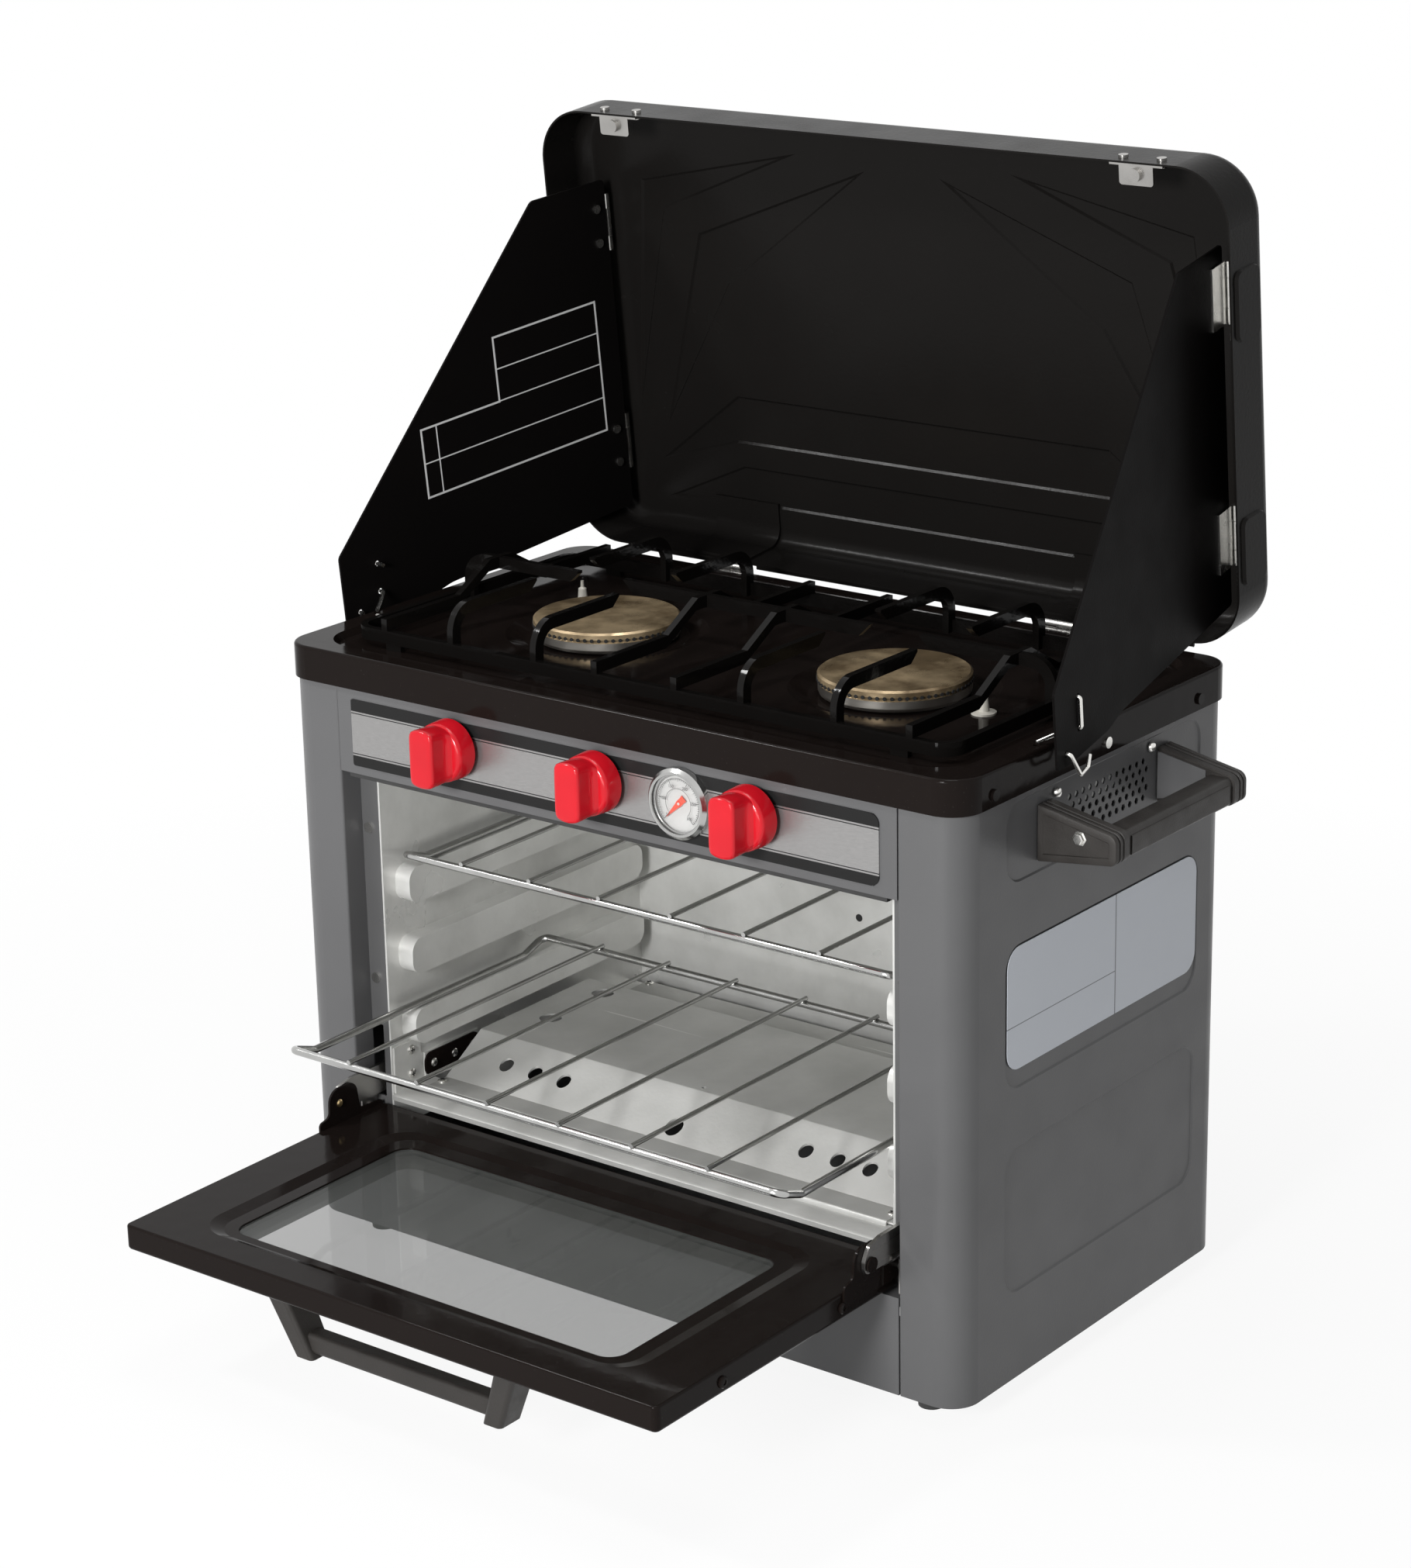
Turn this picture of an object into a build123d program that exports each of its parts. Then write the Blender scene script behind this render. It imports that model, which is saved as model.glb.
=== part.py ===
from build123d import *
import math
import os

# Folding camp oven: a sheet-metal gas oven with a drop-down glass door, two hob burners under a
# welded pot grate, and a hinged lid that carries two side windshields.
# It stands open: door down, lid up, lower rack pulled out.
# Millimetres. +X is the user's right, +Y runs from the front of the oven to its back, +Z is up.
# While building, y = 0 is the plane of the front panels; place() then centres the open oven on the origin.

# ---- sheet metal and fits
SHEET = 1.2             # body, liner, door and lid sheet
SEAT_GAP = 0.3          # between pieces that lie beside each other
RUN_FIT = 0.08          # radial play of pins and spindles
SCREW_R = 3.4           # pan-head screws
SCREW_H = 1.6

# ---- body shell
BODY_HALF_W = 252.5
BODY_D = 289.5
CORNER_R = 19.0         # upright corners, where each side panel wraps round
REAR_FLANGE = 30.0
STILE_D = 17.0          # return flange beside the door
FOOT_H = 14.0
FOOT_R = 9.0
FOOT_INSET_X = 36.5     # foot centre in from the body side
FOOT_INSET_Y = 25.0
LOWER_PANEL_H = 62.0
CONTROL_H = 54.9

# ---- door, lying open
DOOR_INSET = 50.5       # door side in from the body side
DOOR_H = 228.5          # rear edge to front edge while it lies open
DOOR_SKIN_H = 11.2      # outer pan
DOOR_FRAME_H = 5.0      # inner frame on top of it
DOOR_CORNER_R = 4.0
HINGE_INSET = 3.0       # hinge pin from the door's rear edge
HINGE_DROP = 3.2        # hinge pin below the inner face
HINGE_Y = 11.0
HINGE_RISE = 15.0       # hinge pin above the lower front panel
STILE_GAP = 8.3         # door side to body stile
DOOR_TOP_GAP = 3.1
WINDOW_SIDE = 55.6      # window edge from the door's side
WINDOW_FRONT = 33.0     # window edge from the door's front edge
WINDOW_REAR = 40.6      # window edge from the door's rear edge
WINDOW_R = 12.0
RECESS_SIDE = 37.0      # dished band round the window, from the door's side
RECESS_FRONT = 21.5
RECESS_REAR = 24.0
RECESS_R = 22.0
RECESS_DEPTH = 1.9
RECESS_SLOPE = 9.0
GLASS_T = 4.0
GLASS_LAP = 3.6
HANDLE_BASE_X = 88.0
HANDLE_END_X = 72.0
HANDLE_INSET_Y = 18.5   # arm centre from the door's front edge
HANDLE_REACH = 40.0
ARM_W = 16.0
ARM_D = 22.0
GRIP_HALF_L = 62.0
GRIP_T = 12.5
PIN_R = 2.5
EAR_T = 1.5
LINK_T = 2.5
LINK_RISE = 14.0        # link arm above its rivet
LINK_DROP = 5.0         # link arm below its rivet
LINK_L = 67.0
EAR_R = 12.0            # ear plate round the link rivet
EAR_TOE = 22.0          # foot of the ear in front of the rivet
RIVET_R = 2.2
RIVET_BACK = 33.0       # link rivet in front of the hinge pin
RIVET_RISE = 14.0       # link rivet above the hinge pin

# ---- oven cavity
CAVITY_INSET = 7.0      # cavity wall in from the door's side
CAVITY_REAR_GAP = 17.5  # cavity back to the outside of the body
LINER_FLANGE_W = 19.0
FLOOR_RISE = 13.5       # floor plate's flanges above the hinge pin
SPREAD_RISE = 21.5      # raised middle of the floor plate above its flanges
SPREAD_SIDE = 16.0      # floor plate to cavity wall
SPREAD_FRONT = (31.5, 50.0, 85.5)       # front edge, foot and top of the front slope
SPREAD_REAR = (76.0, 41.0, 14.0)        # top and foot of the rear slope and rear edge, from the cavity back
SPREAD_LIP = 9.0        # turned-down front edge
SLOPE_HOLE_X = (95.0, 118.6, 142.5)
SLOPE_HOLE_R = 4.8
VENT_HOLE_R = 7.5       # holes near the ends of the raised middle
RUNNER_IN = 12.0        # rack runners pressed in from the side walls
RUNNER_H = 24.0
LOWER_RAIL_Z = 158.5    # centre of the rack's side rails
UPPER_RAIL_Z = 254.0
MIDDLE_RAIL_Z = 206.2
RACK_PLAY = 6.0         # rack side to cavity wall
RACK_REAR_GAP = 26.0    # cavity depth behind the racks' length
RAIL_R = 2.5
RACK_RISE = 7.0         # front and rear wires above the side rails
WIRE_R = 1.5
WIRE_PITCH = 54.8
RACK_HOME_Y = 24.0
RACK_OUT = 108.0
BURNER_TUBE_R = 9.0
BURNER_DROP = 6.0       # oven burner below the floor plate's flanges
BURNER_Y = 145.0

# ---- controls
KNOB_PITCH = 112.8
KNOB_CENTRE_X = -0.8
KNOB_RISE = 4.75        # knobs above the middle of the control panel
KNOB_R = 19.0
KNOB_DISC_T = 15.0
KNOB_GRIP_W = 19.0
KNOB_GRIP_H = 14.0
KNOB_OFF = 3.2          # knob back to faceplate
PUSH = 2.4
STEM_R = 3.0
SPINDLE_R = 5.5
VALVE_R = 9.0
FACE_T = 0.8
FACE_SIDE = 5.5         # faceplate end in from the door's side
FACE_X = -2.0
FACE_H = 42.8
MANIFOLD_R = 6.0
MANIFOLD_Y = 32.0
GAS_TUBE_R = 4.0
INLET_THREAD_R = 7.94
INLET_THREAD_L = 14.0
INLET_INSET = 47.5      # gas inlet in from the body side
GAUGE_X = 59.5
GAUGE_RISE = 2.0        # thermometer above the middle of the control panel
GAUGE_R = 21.5
GAUGE_PROUD = 6.0
BULB_Y = (58.0, 90.0)   # thermometer bulb under the cavity roof
BULB_TUBE_Y = (16.0, 45.0)
BULB_TUBE_DROP = 17.0

# ---- cooktop and burners
SKIRT_H = 21.5
SKIRT_OVER = 2.0        # skirt outside the body on every side
SKIRT_R = 20.0
HOB_FLANGE = 14.5
HOB_DEPTH = 4.0
HOB_R = 26.0
BURNER_X = 110.0
BURNER_HOB_Y = 142.0
DISH_R = 64.0
DISH_DEPTH = 4.0
BURNER_R = 46.0
BURNER_CAP_H = 6.5
BURNER_BASE_H = 8.0
NECK_R = 19.0
IGNITERS = ((184.0, 125.5), (-161.0, 180.0))

# ---- pot grate
BAR_T = 4.5
BAR_H = 8.0
GRATE_SIDE = 27.5       # frame in from the body side
GRATE_FRONT = 31.0
GRATE_REAR = 38.5       # frame in from the body's back
GRATE_R = 15.0
POT_RISE = 24.0         # pot bars above the frame
INNER_BAR_X = 30.0
OUTER_BAR_IN = 28.0     # outer humped bar in from the frame's side
FINGER_X = (78.0, 144.0)
FINGER_FRONT_END = 113.0
FINGER_BACK_END = 170.0
SIDE_FINGER_END = 130.0
MIDDLE_BAR_HALF = 94.0

# ---- side handles
GRAB_FRONT = 77.5
GRAB_BACK = BODY_D - 67.5
GRAB_OUT = 51.6
GRAB_DROP = 12.1        # top of the brackets below the skirt
GRAB_ROOT_H = 33.8
GRAB_END_H = 18.0
GRAB_BRACKET_W = 15.0
GRAB_BAR_W = 17.0

# ---- lid and windshields
LID_OVER = 2.5          # lid outside the skirt at each side
LID_OVER_L = 4.5        # lid longer than the body is deep
LID_H = 42.0
LID_R = 35.0
LID_EDGE_R = 11.0
LID_OPEN = 84.3         # degrees from shut to where it stands
LID_SET_BACK = 3.4      # hinge pin behind the lid's rear wall
LID_LEAF_H = 24.0
HINGE_PIN_R = 1.5
LEAF_T = 1.5
LID_LEAF_IN = 115.5
LID_LEAF_OUT = 167.5
LID_LEAF_REACH = 27.0   # plate's reach along the lid's back
BEAD_DEPTH = 1.8        # pressings in the lid's back, outward
BEAD_SLOPE = 50.0
# Outlines of the pressings: sideways from the middle, and along the lid from its hinge
SIDE_BEADS = (((80.5, 271), (209, 244), (226, 86), (191.5, 226)),
              ((28, 264), (165, 211.5), (203.5, 78), (143, 179)))
CROSS_BEADS = (((211, 52), (146, 71), (-146, 71), (-211, 52), (-143.5, 103.5), (143.5, 103.5)),
               ((208, 26), (160, 29), (-160, 29), (-208, 26), (-142, 55), (142, 55)))
BOSS_H = 2.0            # swellings outside the lid over the windshield hinges
BOSS_L = 44.0
BOSS_RISE = (4.0, 31.0)
KNUCKLE_R = 3.0
KNUCKLE_X = (114.0, 127.5, 141.0)
CATCH_INSET = 62.0      # catch in from the lid's side
CATCH_RIVET_X = 13.0
CATCH_RIVET_R = 3.0
SHIELD_T = 1.5
SHIELD_SPLAY = 7.9      # degrees outward from the lid's side wall
SHIELD_INSET = 24.0     # windshield's hinge edge in from the lid's side
SHIELD_EDGE_W = 30.0    # rear edge behind the lid's rim plane
SHIELD_TOP = 244.5
SHIELD_LEN = 254.0
SHIELD_FRONT_TOP = 57.0
SHIELD_SLANT_AT = 64.3
SHIELD_BOTTOM = (20.0, 13.8, 9.5, 9.0, 11.5)
SHIELD_BOTTOM_AT = (89.0, 69.0, 18.0)   # corners of the lower edge, back from the front edge
SHIELD_HINGE_L = 38.0
SHIELD_HINGE_AT = (64.0, 215.0)
SHIELD_KNUCKLE_R = 2.75
STAY_R = 1.2
STAY_INSET = 3.5        # stay hole in the cooktop flange, in from the body side
STAY_Y = 81.0

# ---- widths, depths and levels that follow from the sizes above
FOOT_X = BODY_HALF_W - FOOT_INSET_X
DOOR_HALF_W = BODY_HALF_W - DOOR_INSET
WINDOW_HALF_W = DOOR_HALF_W - WINDOW_SIDE
RECESS_HALF_W = DOOR_HALF_W - RECESS_SIDE
CAVITY_HALF_W = DOOR_HALF_W - CAVITY_INSET
CAVITY_BACK = BODY_D - CAVITY_REAR_GAP
SPREAD_HALF_W = CAVITY_HALF_W - SPREAD_SIDE
SPREAD_Y = SPREAD_FRONT + tuple(CAVITY_BACK - d for d in SPREAD_REAR)
RACK_HALF_W = CAVITY_HALF_W - RACK_PLAY
RACK_L = CAVITY_BACK - RACK_REAR_GAP
INLET_X = BODY_HALF_W - INLET_INSET
FACE_HALF_W = DOOR_HALF_W - FACE_SIDE
GRATE_HALF_W = BODY_HALF_W - GRATE_SIDE
GRATE_BACK = BODY_D - GRATE_REAR
OUTER_BAR_X = GRATE_HALF_W - OUTER_BAR_IN
LID_HALF_W = BODY_HALF_W + SKIRT_OVER + LID_OVER
LID_L = BODY_D + LID_OVER_L
CATCH_X = LID_HALF_W - CATCH_INSET
SHIELD_EDGE_X = LID_HALF_W - SHIELD_INSET
STAY_X = BODY_HALF_W - STAY_INSET
BODY_BOTTOM = FOOT_H
LOWER_TOP = BODY_BOTTOM + LOWER_PANEL_H
HINGE_Z = LOWER_TOP + HINGE_RISE
DOOR_TOP = HINGE_Z + HINGE_DROP
DOOR_BOTTOM = DOOR_TOP - DOOR_FRAME_H - DOOR_SKIN_H
DOOR_REAR = HINGE_Y + HINGE_INSET
DOOR_FRONT = DOOR_REAR - DOOR_H
SHUT_TOP = HINGE_Z + DOOR_H - HINGE_INSET
CONTROL_BOTTOM = SHUT_TOP + DOOR_TOP_GAP
BODY_TOP = CONTROL_BOTTOM + CONTROL_H
GRAB_TOP = BODY_TOP - GRAB_DROP
HOB_TOP = BODY_TOP + SKIRT_H
HOB_FLOOR = HOB_TOP - HOB_DEPTH
PANEL_TOP = HOB_FLOOR - SHEET - SEAT_GAP
SEAM_X = DOOR_HALF_W + STILE_GAP
PANEL_HALF_W = SEAM_X - SEAT_GAP
LINER_FRONT = STILE_D
FLANGE_TOP = HINGE_Z + FLOOR_RISE
SPREAD_TOP = FLANGE_TOP + SPREAD_RISE
OVEN_BURNER_Z = FLANGE_TOP - BURNER_DROP
CAVITY_TOP = SHUT_TOP - 1.5
PLATE_Z = (CONTROL_BOTTOM + BODY_TOP) / 2
KNOB_Z = PLATE_Z + KNOB_RISE
GAUGE_Z = PLATE_Z + GAUGE_RISE
KNOBS = {
    "left": KNOB_CENTRE_X - KNOB_PITCH,
    "centre": KNOB_CENTRE_X,
    "right": KNOB_CENTRE_X + KNOB_PITCH,
}
BACK_IN = BODY_D - 2 * SHEET
GRATE_TOP = HOB_TOP + BAR_H
POT_TOP = GRATE_TOP + POT_RISE
GRATE_MID = (GRATE_FRONT + GRATE_BACK) / 2
LID_RIM = HOB_TOP + SEAT_GAP
LID_HINGE_Y = BODY_D + SKIRT_OVER + KNUCKLE_R + SEAT_GAP
LID_HINGE_Z = LID_RIM + 0.7
LID_REAR = LID_HINGE_Y - LID_SET_BACK
LID_AXIS = Axis((0, LID_HINGE_Y, LID_HINGE_Z), (1, 0, 0))
LID_BACK_OPEN = LID_HINGE_Y + LID_H
FRONT_Y = -round((DOOR_FRONT + LID_BACK_OPEN) / 2, 1)


# ---- helpers
def block(x, y, z):
    """Box between three (low, high) pairs."""
    size = [abs(b - a) for a, b in (x, y, z)]
    mid = [(a + b) / 2 for a, b in (x, y, z)]
    return Pos(*mid) * Box(*size)


def plate(x, y, z, r):
    """Upright-walled plate with rounded plan corners."""
    outline = RectangleRounded(x[1] - x[0], y[1] - y[0], r)
    return Pos((x[0] + x[1]) / 2, (y[0] + y[1]) / 2, z[0]) * extrude(outline, z[1] - z[0])


def rod(start, end, r):
    """Round bar from one point to another."""
    a = Vector(*start)
    b = Vector(*end)
    at_foot = (Align.CENTER, Align.CENTER, Align.MIN)
    return Plane(origin=a, z_dir=b - a) * Cylinder(r, (b - a).length, align=at_foot)


def along_y(x, z, y, r):
    """Round bar parallel to Y between two y values."""
    return rod((x, y[0], z), (x, y[1], z), r)


def across(y, z, x, r):
    """Round bar parallel to X between two x values."""
    return rod((x[0], y, z), (x[1], y, z), r)


def wire(points, r, bend):
    """Round wire or tube along a bent path."""
    path = FilletPolyline(*points, radius=bend)
    return sweep(Plane(origin=path @ 0, z_dir=path % 0) * Circle(r), path)


def strip(points, t, bend, x):
    """Sheet bent along a path in the YZ plane, between two x values."""
    face = trace(FilletPolyline(*points, radius=bend), t)
    return Pos(x[0], 0, 0) * extrude(Plane.YZ * face, x[1] - x[0], dir=(1, 0, 0))


def profile_yz(points, x):
    """Polygon in the YZ plane, between two x values."""
    face = make_face(Polyline(*points, close=True))
    return Pos(x[0], 0, 0) * extrude(Plane.YZ * face, x[1] - x[0], dir=(1, 0, 0))


def profile_xz(points, y):
    """Polygon in the XZ plane, between two y values."""
    face = make_face(Polyline(*points, close=True))
    return Pos(0, y[0], 0) * extrude(Plane.XZ * face, y[1] - y[0], dir=(0, 1, 0))


def flip(part):
    return mirror(part, about=Plane.YZ)


def pair(part):
    return Compound(list(part.solids()) + list(flip(part).solids()))


def group(parts):
    return Compound([s for p in parts for s in p.solids()])


# ---- body shell
def side_section(z):
    """Plan section of a side panel: stile flange, front, round corner, side and rear flange."""
    outer = make_face(FilletPolyline(
        (SEAM_X, 0), (BODY_HALF_W, 0), (BODY_HALF_W, BODY_D), (SEAM_X, BODY_D),
        radius=[1.5, CORNER_R, CORNER_R, 1.5], close=True))
    inner = make_face(FilletPolyline(
        (SEAM_X + SHEET, SHEET), (BODY_HALF_W - SHEET, SHEET),
        (BODY_HALF_W - SHEET, BODY_D - SHEET), (SEAM_X + SHEET, BODY_D - SHEET),
        radius=[0.6, CORNER_R - SHEET, CORNER_R - SHEET, 0.6], close=True))
    return extrude(outer - inner, z)


FIELD_Y = (45.5, BODY_D - 33.5)
FIELDS_Z = (
    (BODY_TOP - 305.5, BODY_TOP - 213.5),
    (BODY_TOP - 177.5, BODY_TOP - 89.5),
    (BODY_TOP - 52.5, BODY_TOP - 4.0),
)
FIELD_R = 15.0
FIELD_DEPTH = 0.9
VENT_ROWS = 5
VENT_COLS = 12
VENT_PITCH_Y = 7.3
VENT_PITCH_Z = 5.6
VENT_R = 2.2
VENT_Y = BODY_D / 2 - 32.75
VENT_Z = BODY_TOP - 39.5


def field(z, depth, grow):
    """Shallow pressing in the side, with sloped edges, opening towards +X at x = 0."""
    w = FIELD_Y[1] - FIELD_Y[0] + 2 * grow
    h = z[1] - z[0] + 2 * grow
    outline = RectangleRounded(w, h, FIELD_R + grow)
    middle = (0, (FIELD_Y[0] + FIELD_Y[1]) / 2, (z[0] + z[1]) / 2)
    face = Plane(origin=middle, x_dir=(0, 1, 0), z_dir=(-1, 0, 0))
    return extrude(face * outline, depth, taper=50)


def side_panel():
    body = Pos(0, 0, BODY_BOTTOM) * side_section(PANEL_TOP - BODY_BOTTOM)
    body -= block((SEAM_X - 1, SEAM_X + SHEET + 1), (STILE_D, BODY_D + 1), (0, 500))
    body -= block((SEAM_X - 1, BODY_HALF_W - REAR_FLANGE), (BODY_D - SHEET - 0.01, BODY_D + 1), (0, 500))
    for z in FIELDS_Z:
        body += Pos(BODY_HALF_W - SHEET, 0, 0) * field(z, FIELD_DEPTH, SHEET)
    for z in FIELDS_Z:
        body -= Pos(BODY_HALF_W, 0, 0) * field(z, FIELD_DEPTH, 0)
    holes = []
    for row in range(VENT_ROWS):
        shift = VENT_PITCH_Y / 2 if row % 2 else 0
        for col in range(VENT_COLS):
            y = VENT_Y + col * VENT_PITCH_Y + shift
            z = VENT_Z + row * VENT_PITCH_Z
            holes.append(Pos(0, y, z) * extrude(Plane.YZ * RegularPolygon(VENT_R, 6), BODY_HALF_W + 5))
    return body - holes


def back_panel():
    x = BODY_HALF_W - CORNER_R
    back = block((-x, x), (BACK_IN, BACK_IN + SHEET), (BODY_BOTTOM, PANEL_TOP))
    slot = extrude(Plane.XZ * SlotOverall(46, 6), 5, both=True)
    for slot_x in (-150, -90, -30, 30, 90, 150):
        for z in (BODY_TOP - 44.5, BODY_TOP - 30.5):
            back -= Pos(slot_x, BACK_IN, z) * slot
    for slot_x in (-120, -60, 0, 60, 120):
        back -= Pos(slot_x, BACK_IN, BODY_BOTTOM + 26) * slot
    return back - along_y(INLET_X, KNOB_Z, (BACK_IN - 5, BACK_IN + 5), INLET_THREAD_R + 1)


def bottom_pan():
    x = BODY_HALF_W - SHEET - SEAT_GAP
    y = (SHEET + SEAT_GAP, BACK_IN - SEAT_GAP)
    pan = plate((-x, x), y, (BODY_BOTTOM, BODY_BOTTOM + SHEET), CORNER_R - SHEET)
    notch = block((SEAM_X - SEAT_GAP, SEAM_X + SHEET + SEAT_GAP), (0, STILE_D + SEAT_GAP), (0, 50))
    pan -= notch
    pan -= flip(notch)
    for slot_x in (-120, 0, 120):
        for off_y in (-55, -5, 45):
            pan -= Pos(slot_x, BODY_D / 2 + off_y, BODY_BOTTOM - 1) * extrude(SlotOverall(80, 12), 5)
    return pan


def feet():
    points = [(x, y) for x in (-FOOT_X, FOOT_X) for y in (FOOT_INSET_Y, BODY_D - FOOT_INSET_Y)]
    foot = Cone(FOOT_R - 1, FOOT_R, FOOT_H, align=(Align.CENTER, Align.CENTER, Align.MIN))
    foot -= Cylinder(3.5, 4, align=(Align.CENTER, Align.CENTER, Align.MIN))
    return group([Pos(x, y, 0) * foot for x, y in points])


def lower_front_panel():
    x = (-PANEL_HALF_W, PANEL_HALF_W)
    face = block(x, (0, SHEET), (BODY_BOTTOM, LOWER_TOP))
    ledge = block(x, (0, LINER_FRONT + SHEET + 1), (LOWER_TOP - SHEET, LOWER_TOP))
    return face + ledge


def control_panel():
    x = (-PANEL_HALF_W, PANEL_HALF_W)
    panel = block(x, (0, SHEET), (CONTROL_BOTTOM, PANEL_TOP))
    panel += block(x, (0, LINER_FRONT - SEAT_GAP), (CONTROL_BOTTOM, CONTROL_BOTTOM + SHEET))
    return panel - control_holes(VALVE_R + SEAT_GAP)


def control_holes(r):
    """Holes for the three valves, of radius r, and for the back of the thermometer."""
    holes = [along_y(x, KNOB_Z, (-5, 5), r) for x in KNOBS.values()]
    holes.append(along_y(GAUGE_X, GAUGE_Z, (-5, 5), GAUGE_R - 2.5))
    return holes


def control_faceplate():
    face = RectangleRounded(2 * FACE_HALF_W, FACE_H, 1.5)
    face = Pos(FACE_X, 0, PLATE_Z - 0.5) * extrude(Plane.XZ * face, FACE_T, dir=(0, -1, 0))
    return face - control_holes(STEM_R + 2)


# ---- oven cavity
def runner(z_top, grow):
    """Rack runner pressed inward: a long rounded ledge with its top at z_top."""
    length = CAVITY_BACK - LINER_FRONT - 22
    mid_y = (CAVITY_BACK + LINER_FRONT) / 2
    face = Plane(origin=(0, mid_y, z_top - RUNNER_H / 2), x_dir=(0, 1, 0), z_dir=(-1, 0, 0))
    outline = RectangleRounded(length - 2 * grow, RUNNER_H - 2 * grow, 9 - grow)
    return extrude(face * outline, RUNNER_IN - grow)


def liner_side():
    """Cavity wall with its front flange, rack runners, floor brackets and the slot for the door link."""
    x0 = CAVITY_HALF_W
    flange = (x0, x0 + LINER_FLANGE_W)
    wall = block((x0, x0 + SHEET), (LINER_FRONT, CAVITY_BACK), (LOWER_TOP, CAVITY_TOP))
    wall += block(flange, (LINER_FRONT, LINER_FRONT + SHEET), (LOWER_TOP, CONTROL_BOTTOM))
    shelf = (FLANGE_TOP - 2 * SHEET, FLANGE_TOP - SHEET)
    for y in ((34, 48), (SPREAD_Y[4] + 2, SPREAD_Y[5] - 2)):
        wall += block((SPREAD_HALF_W - 12, x0), y, shelf)
    wall += block((x0 - 1.2, x0), (LINER_FRONT + SHEET, 43), (HINGE_Z + 9, HINGE_Z + 40))
    wall += block((x0 - 2.0, x0), (46, 98), (HINGE_Z + 11, HINGE_Z + 28))
    for rail_z in (LOWER_RAIL_Z, MIDDLE_RAIL_Z, UPPER_RAIL_Z):
        z_top = rail_z - RAIL_R - SEAT_GAP
        wall += Pos(x0, 0, 0) * runner(z_top, 0)
        wall -= Pos(x0 + SHEET, 0, 0) * runner(z_top, SHEET)
    reach = math.hypot(RIVET_BACK + EAR_R, RIVET_RISE + EAR_R) + 3
    slot_z = (HINGE_Z + RIVET_RISE - LINK_DROP - 3, HINGE_Z + reach)
    wall -= block((DOOR_HALF_W - 1, flange[1] + 1), (LINER_FRONT - 1, LINER_FRONT + SHEET + 1), slot_z)
    return wall - across(BURNER_Y, OVEN_BURNER_Z, (x0 - 20, x0 + 20), GAS_TUBE_R + 1)


def liner_roof():
    x = CAVITY_HALF_W + SHEET
    roof = block((-x, x), (LINER_FRONT + SHEET, CAVITY_BACK + SHEET), (CAVITY_TOP, CAVITY_TOP + SHEET))
    x = CAVITY_HALF_W - SEAT_GAP
    roof += block((-x, x), (LINER_FRONT, LINER_FRONT + SHEET), (CAVITY_TOP, CONTROL_BOTTOM))
    y = BULB_TUBE_Y[1]
    return roof - rod((GAUGE_X, y, CAVITY_TOP - 5), (GAUGE_X, y, CAVITY_TOP + 5), 4.5)


def liner_back():
    x = CAVITY_HALF_W + SHEET
    back = block((-x, x), (CAVITY_BACK, CAVITY_BACK + SHEET), (LOWER_TOP, CAVITY_TOP))
    slot = extrude(Plane.XZ * SlotOverall(40, 6), 5, both=True)
    for slot_x in (-120, -60, 0, 60, 120):
        back -= Pos(slot_x, CAVITY_BACK, CAVITY_TOP - 10) * slot
    return back


def oven_floor_plate():
    """Flame spreader: raised middle between two slopes, flanged front and rear, open at both ends."""
    x = (-SPREAD_HALF_W, SPREAD_HALF_W)
    low = FLANGE_TOP - SHEET / 2
    high = SPREAD_TOP - SHEET / 2
    y = SPREAD_Y
    front = y[0] + SHEET / 2
    path = [(front, low - SPREAD_LIP), (front, low), (y[1], low), (y[2], high), (y[3], high), (y[4], low),
            (y[5], low)]
    floor = strip(path, SHEET, 1.5, x)
    middle = ((y[1] + y[2]) / 2, (FLANGE_TOP + SPREAD_TOP) / 2)
    for s in (-1, 1):
        for hole_x in SLOPE_HOLE_X:
            floor -= Pos(s * hole_x, *middle) * Cylinder(SLOPE_HOLE_R, 12)
        for hole_y in (126, 180):
            floor -= Pos(s * (SPREAD_HALF_W - 25), hole_y, SPREAD_TOP) * Cylinder(VENT_HOLE_R, 6)
        floor -= Pos(s * 100, y[0], low - SPREAD_LIP) * Box(8, 6, 8)
    floor -= Pos(0, y[1] + 9.6, FLANGE_TOP + 5) * Cylinder(6, 12)
    return floor - Pos(0, y[2] + 5, SPREAD_TOP) * Cylinder(1.5, 6)


def oven_burner():
    """Straight pipe burner across the cavity below the floor plate, flanged to both walls."""
    x = CAVITY_HALF_W
    tube = across(BURNER_Y, OVEN_BURNER_Z, (-x + 14, x - 2), BURNER_TUBE_R)
    tube += across(BURNER_Y, OVEN_BURNER_Z, (-x, -x + 14), GAS_TUBE_R + 2)
    tube += across(BURNER_Y, OVEN_BURNER_Z, (-x, -x + 2), BURNER_TUBE_R + 4)
    tube += across(BURNER_Y, OVEN_BURNER_Z, (x - 2, x), BURNER_TUBE_R + 4)
    return tube - across(BURNER_Y, OVEN_BURNER_Z, (-x - 1, -x + 12), GAS_TUBE_R + 0.2)


def rack():
    """One wire rack, its front wire at y = 0 and its side rails at z = 0."""
    x = RACK_HALF_W - RAIL_R
    front = RAIL_R
    rear = RACK_L - RAIL_R
    loop = [(0, front, RACK_RISE), (x, front, RACK_RISE), (x, front + 20, 0), (x, rear - 20, 0),
            (x, rear, RACK_RISE), (0, rear, RACK_RISE)]
    half = wire(loop, RAIL_R, 6)
    part = half + flip(half)
    top = RACK_RISE + RAIL_R + WIRE_R - 0.6
    for i in range(6):
        wx = (i - 2.5) * WIRE_PITCH
        part += rod((wx, 0.6, top), (wx, RACK_L - 0.6, top), WIRE_R)
    return part


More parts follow.
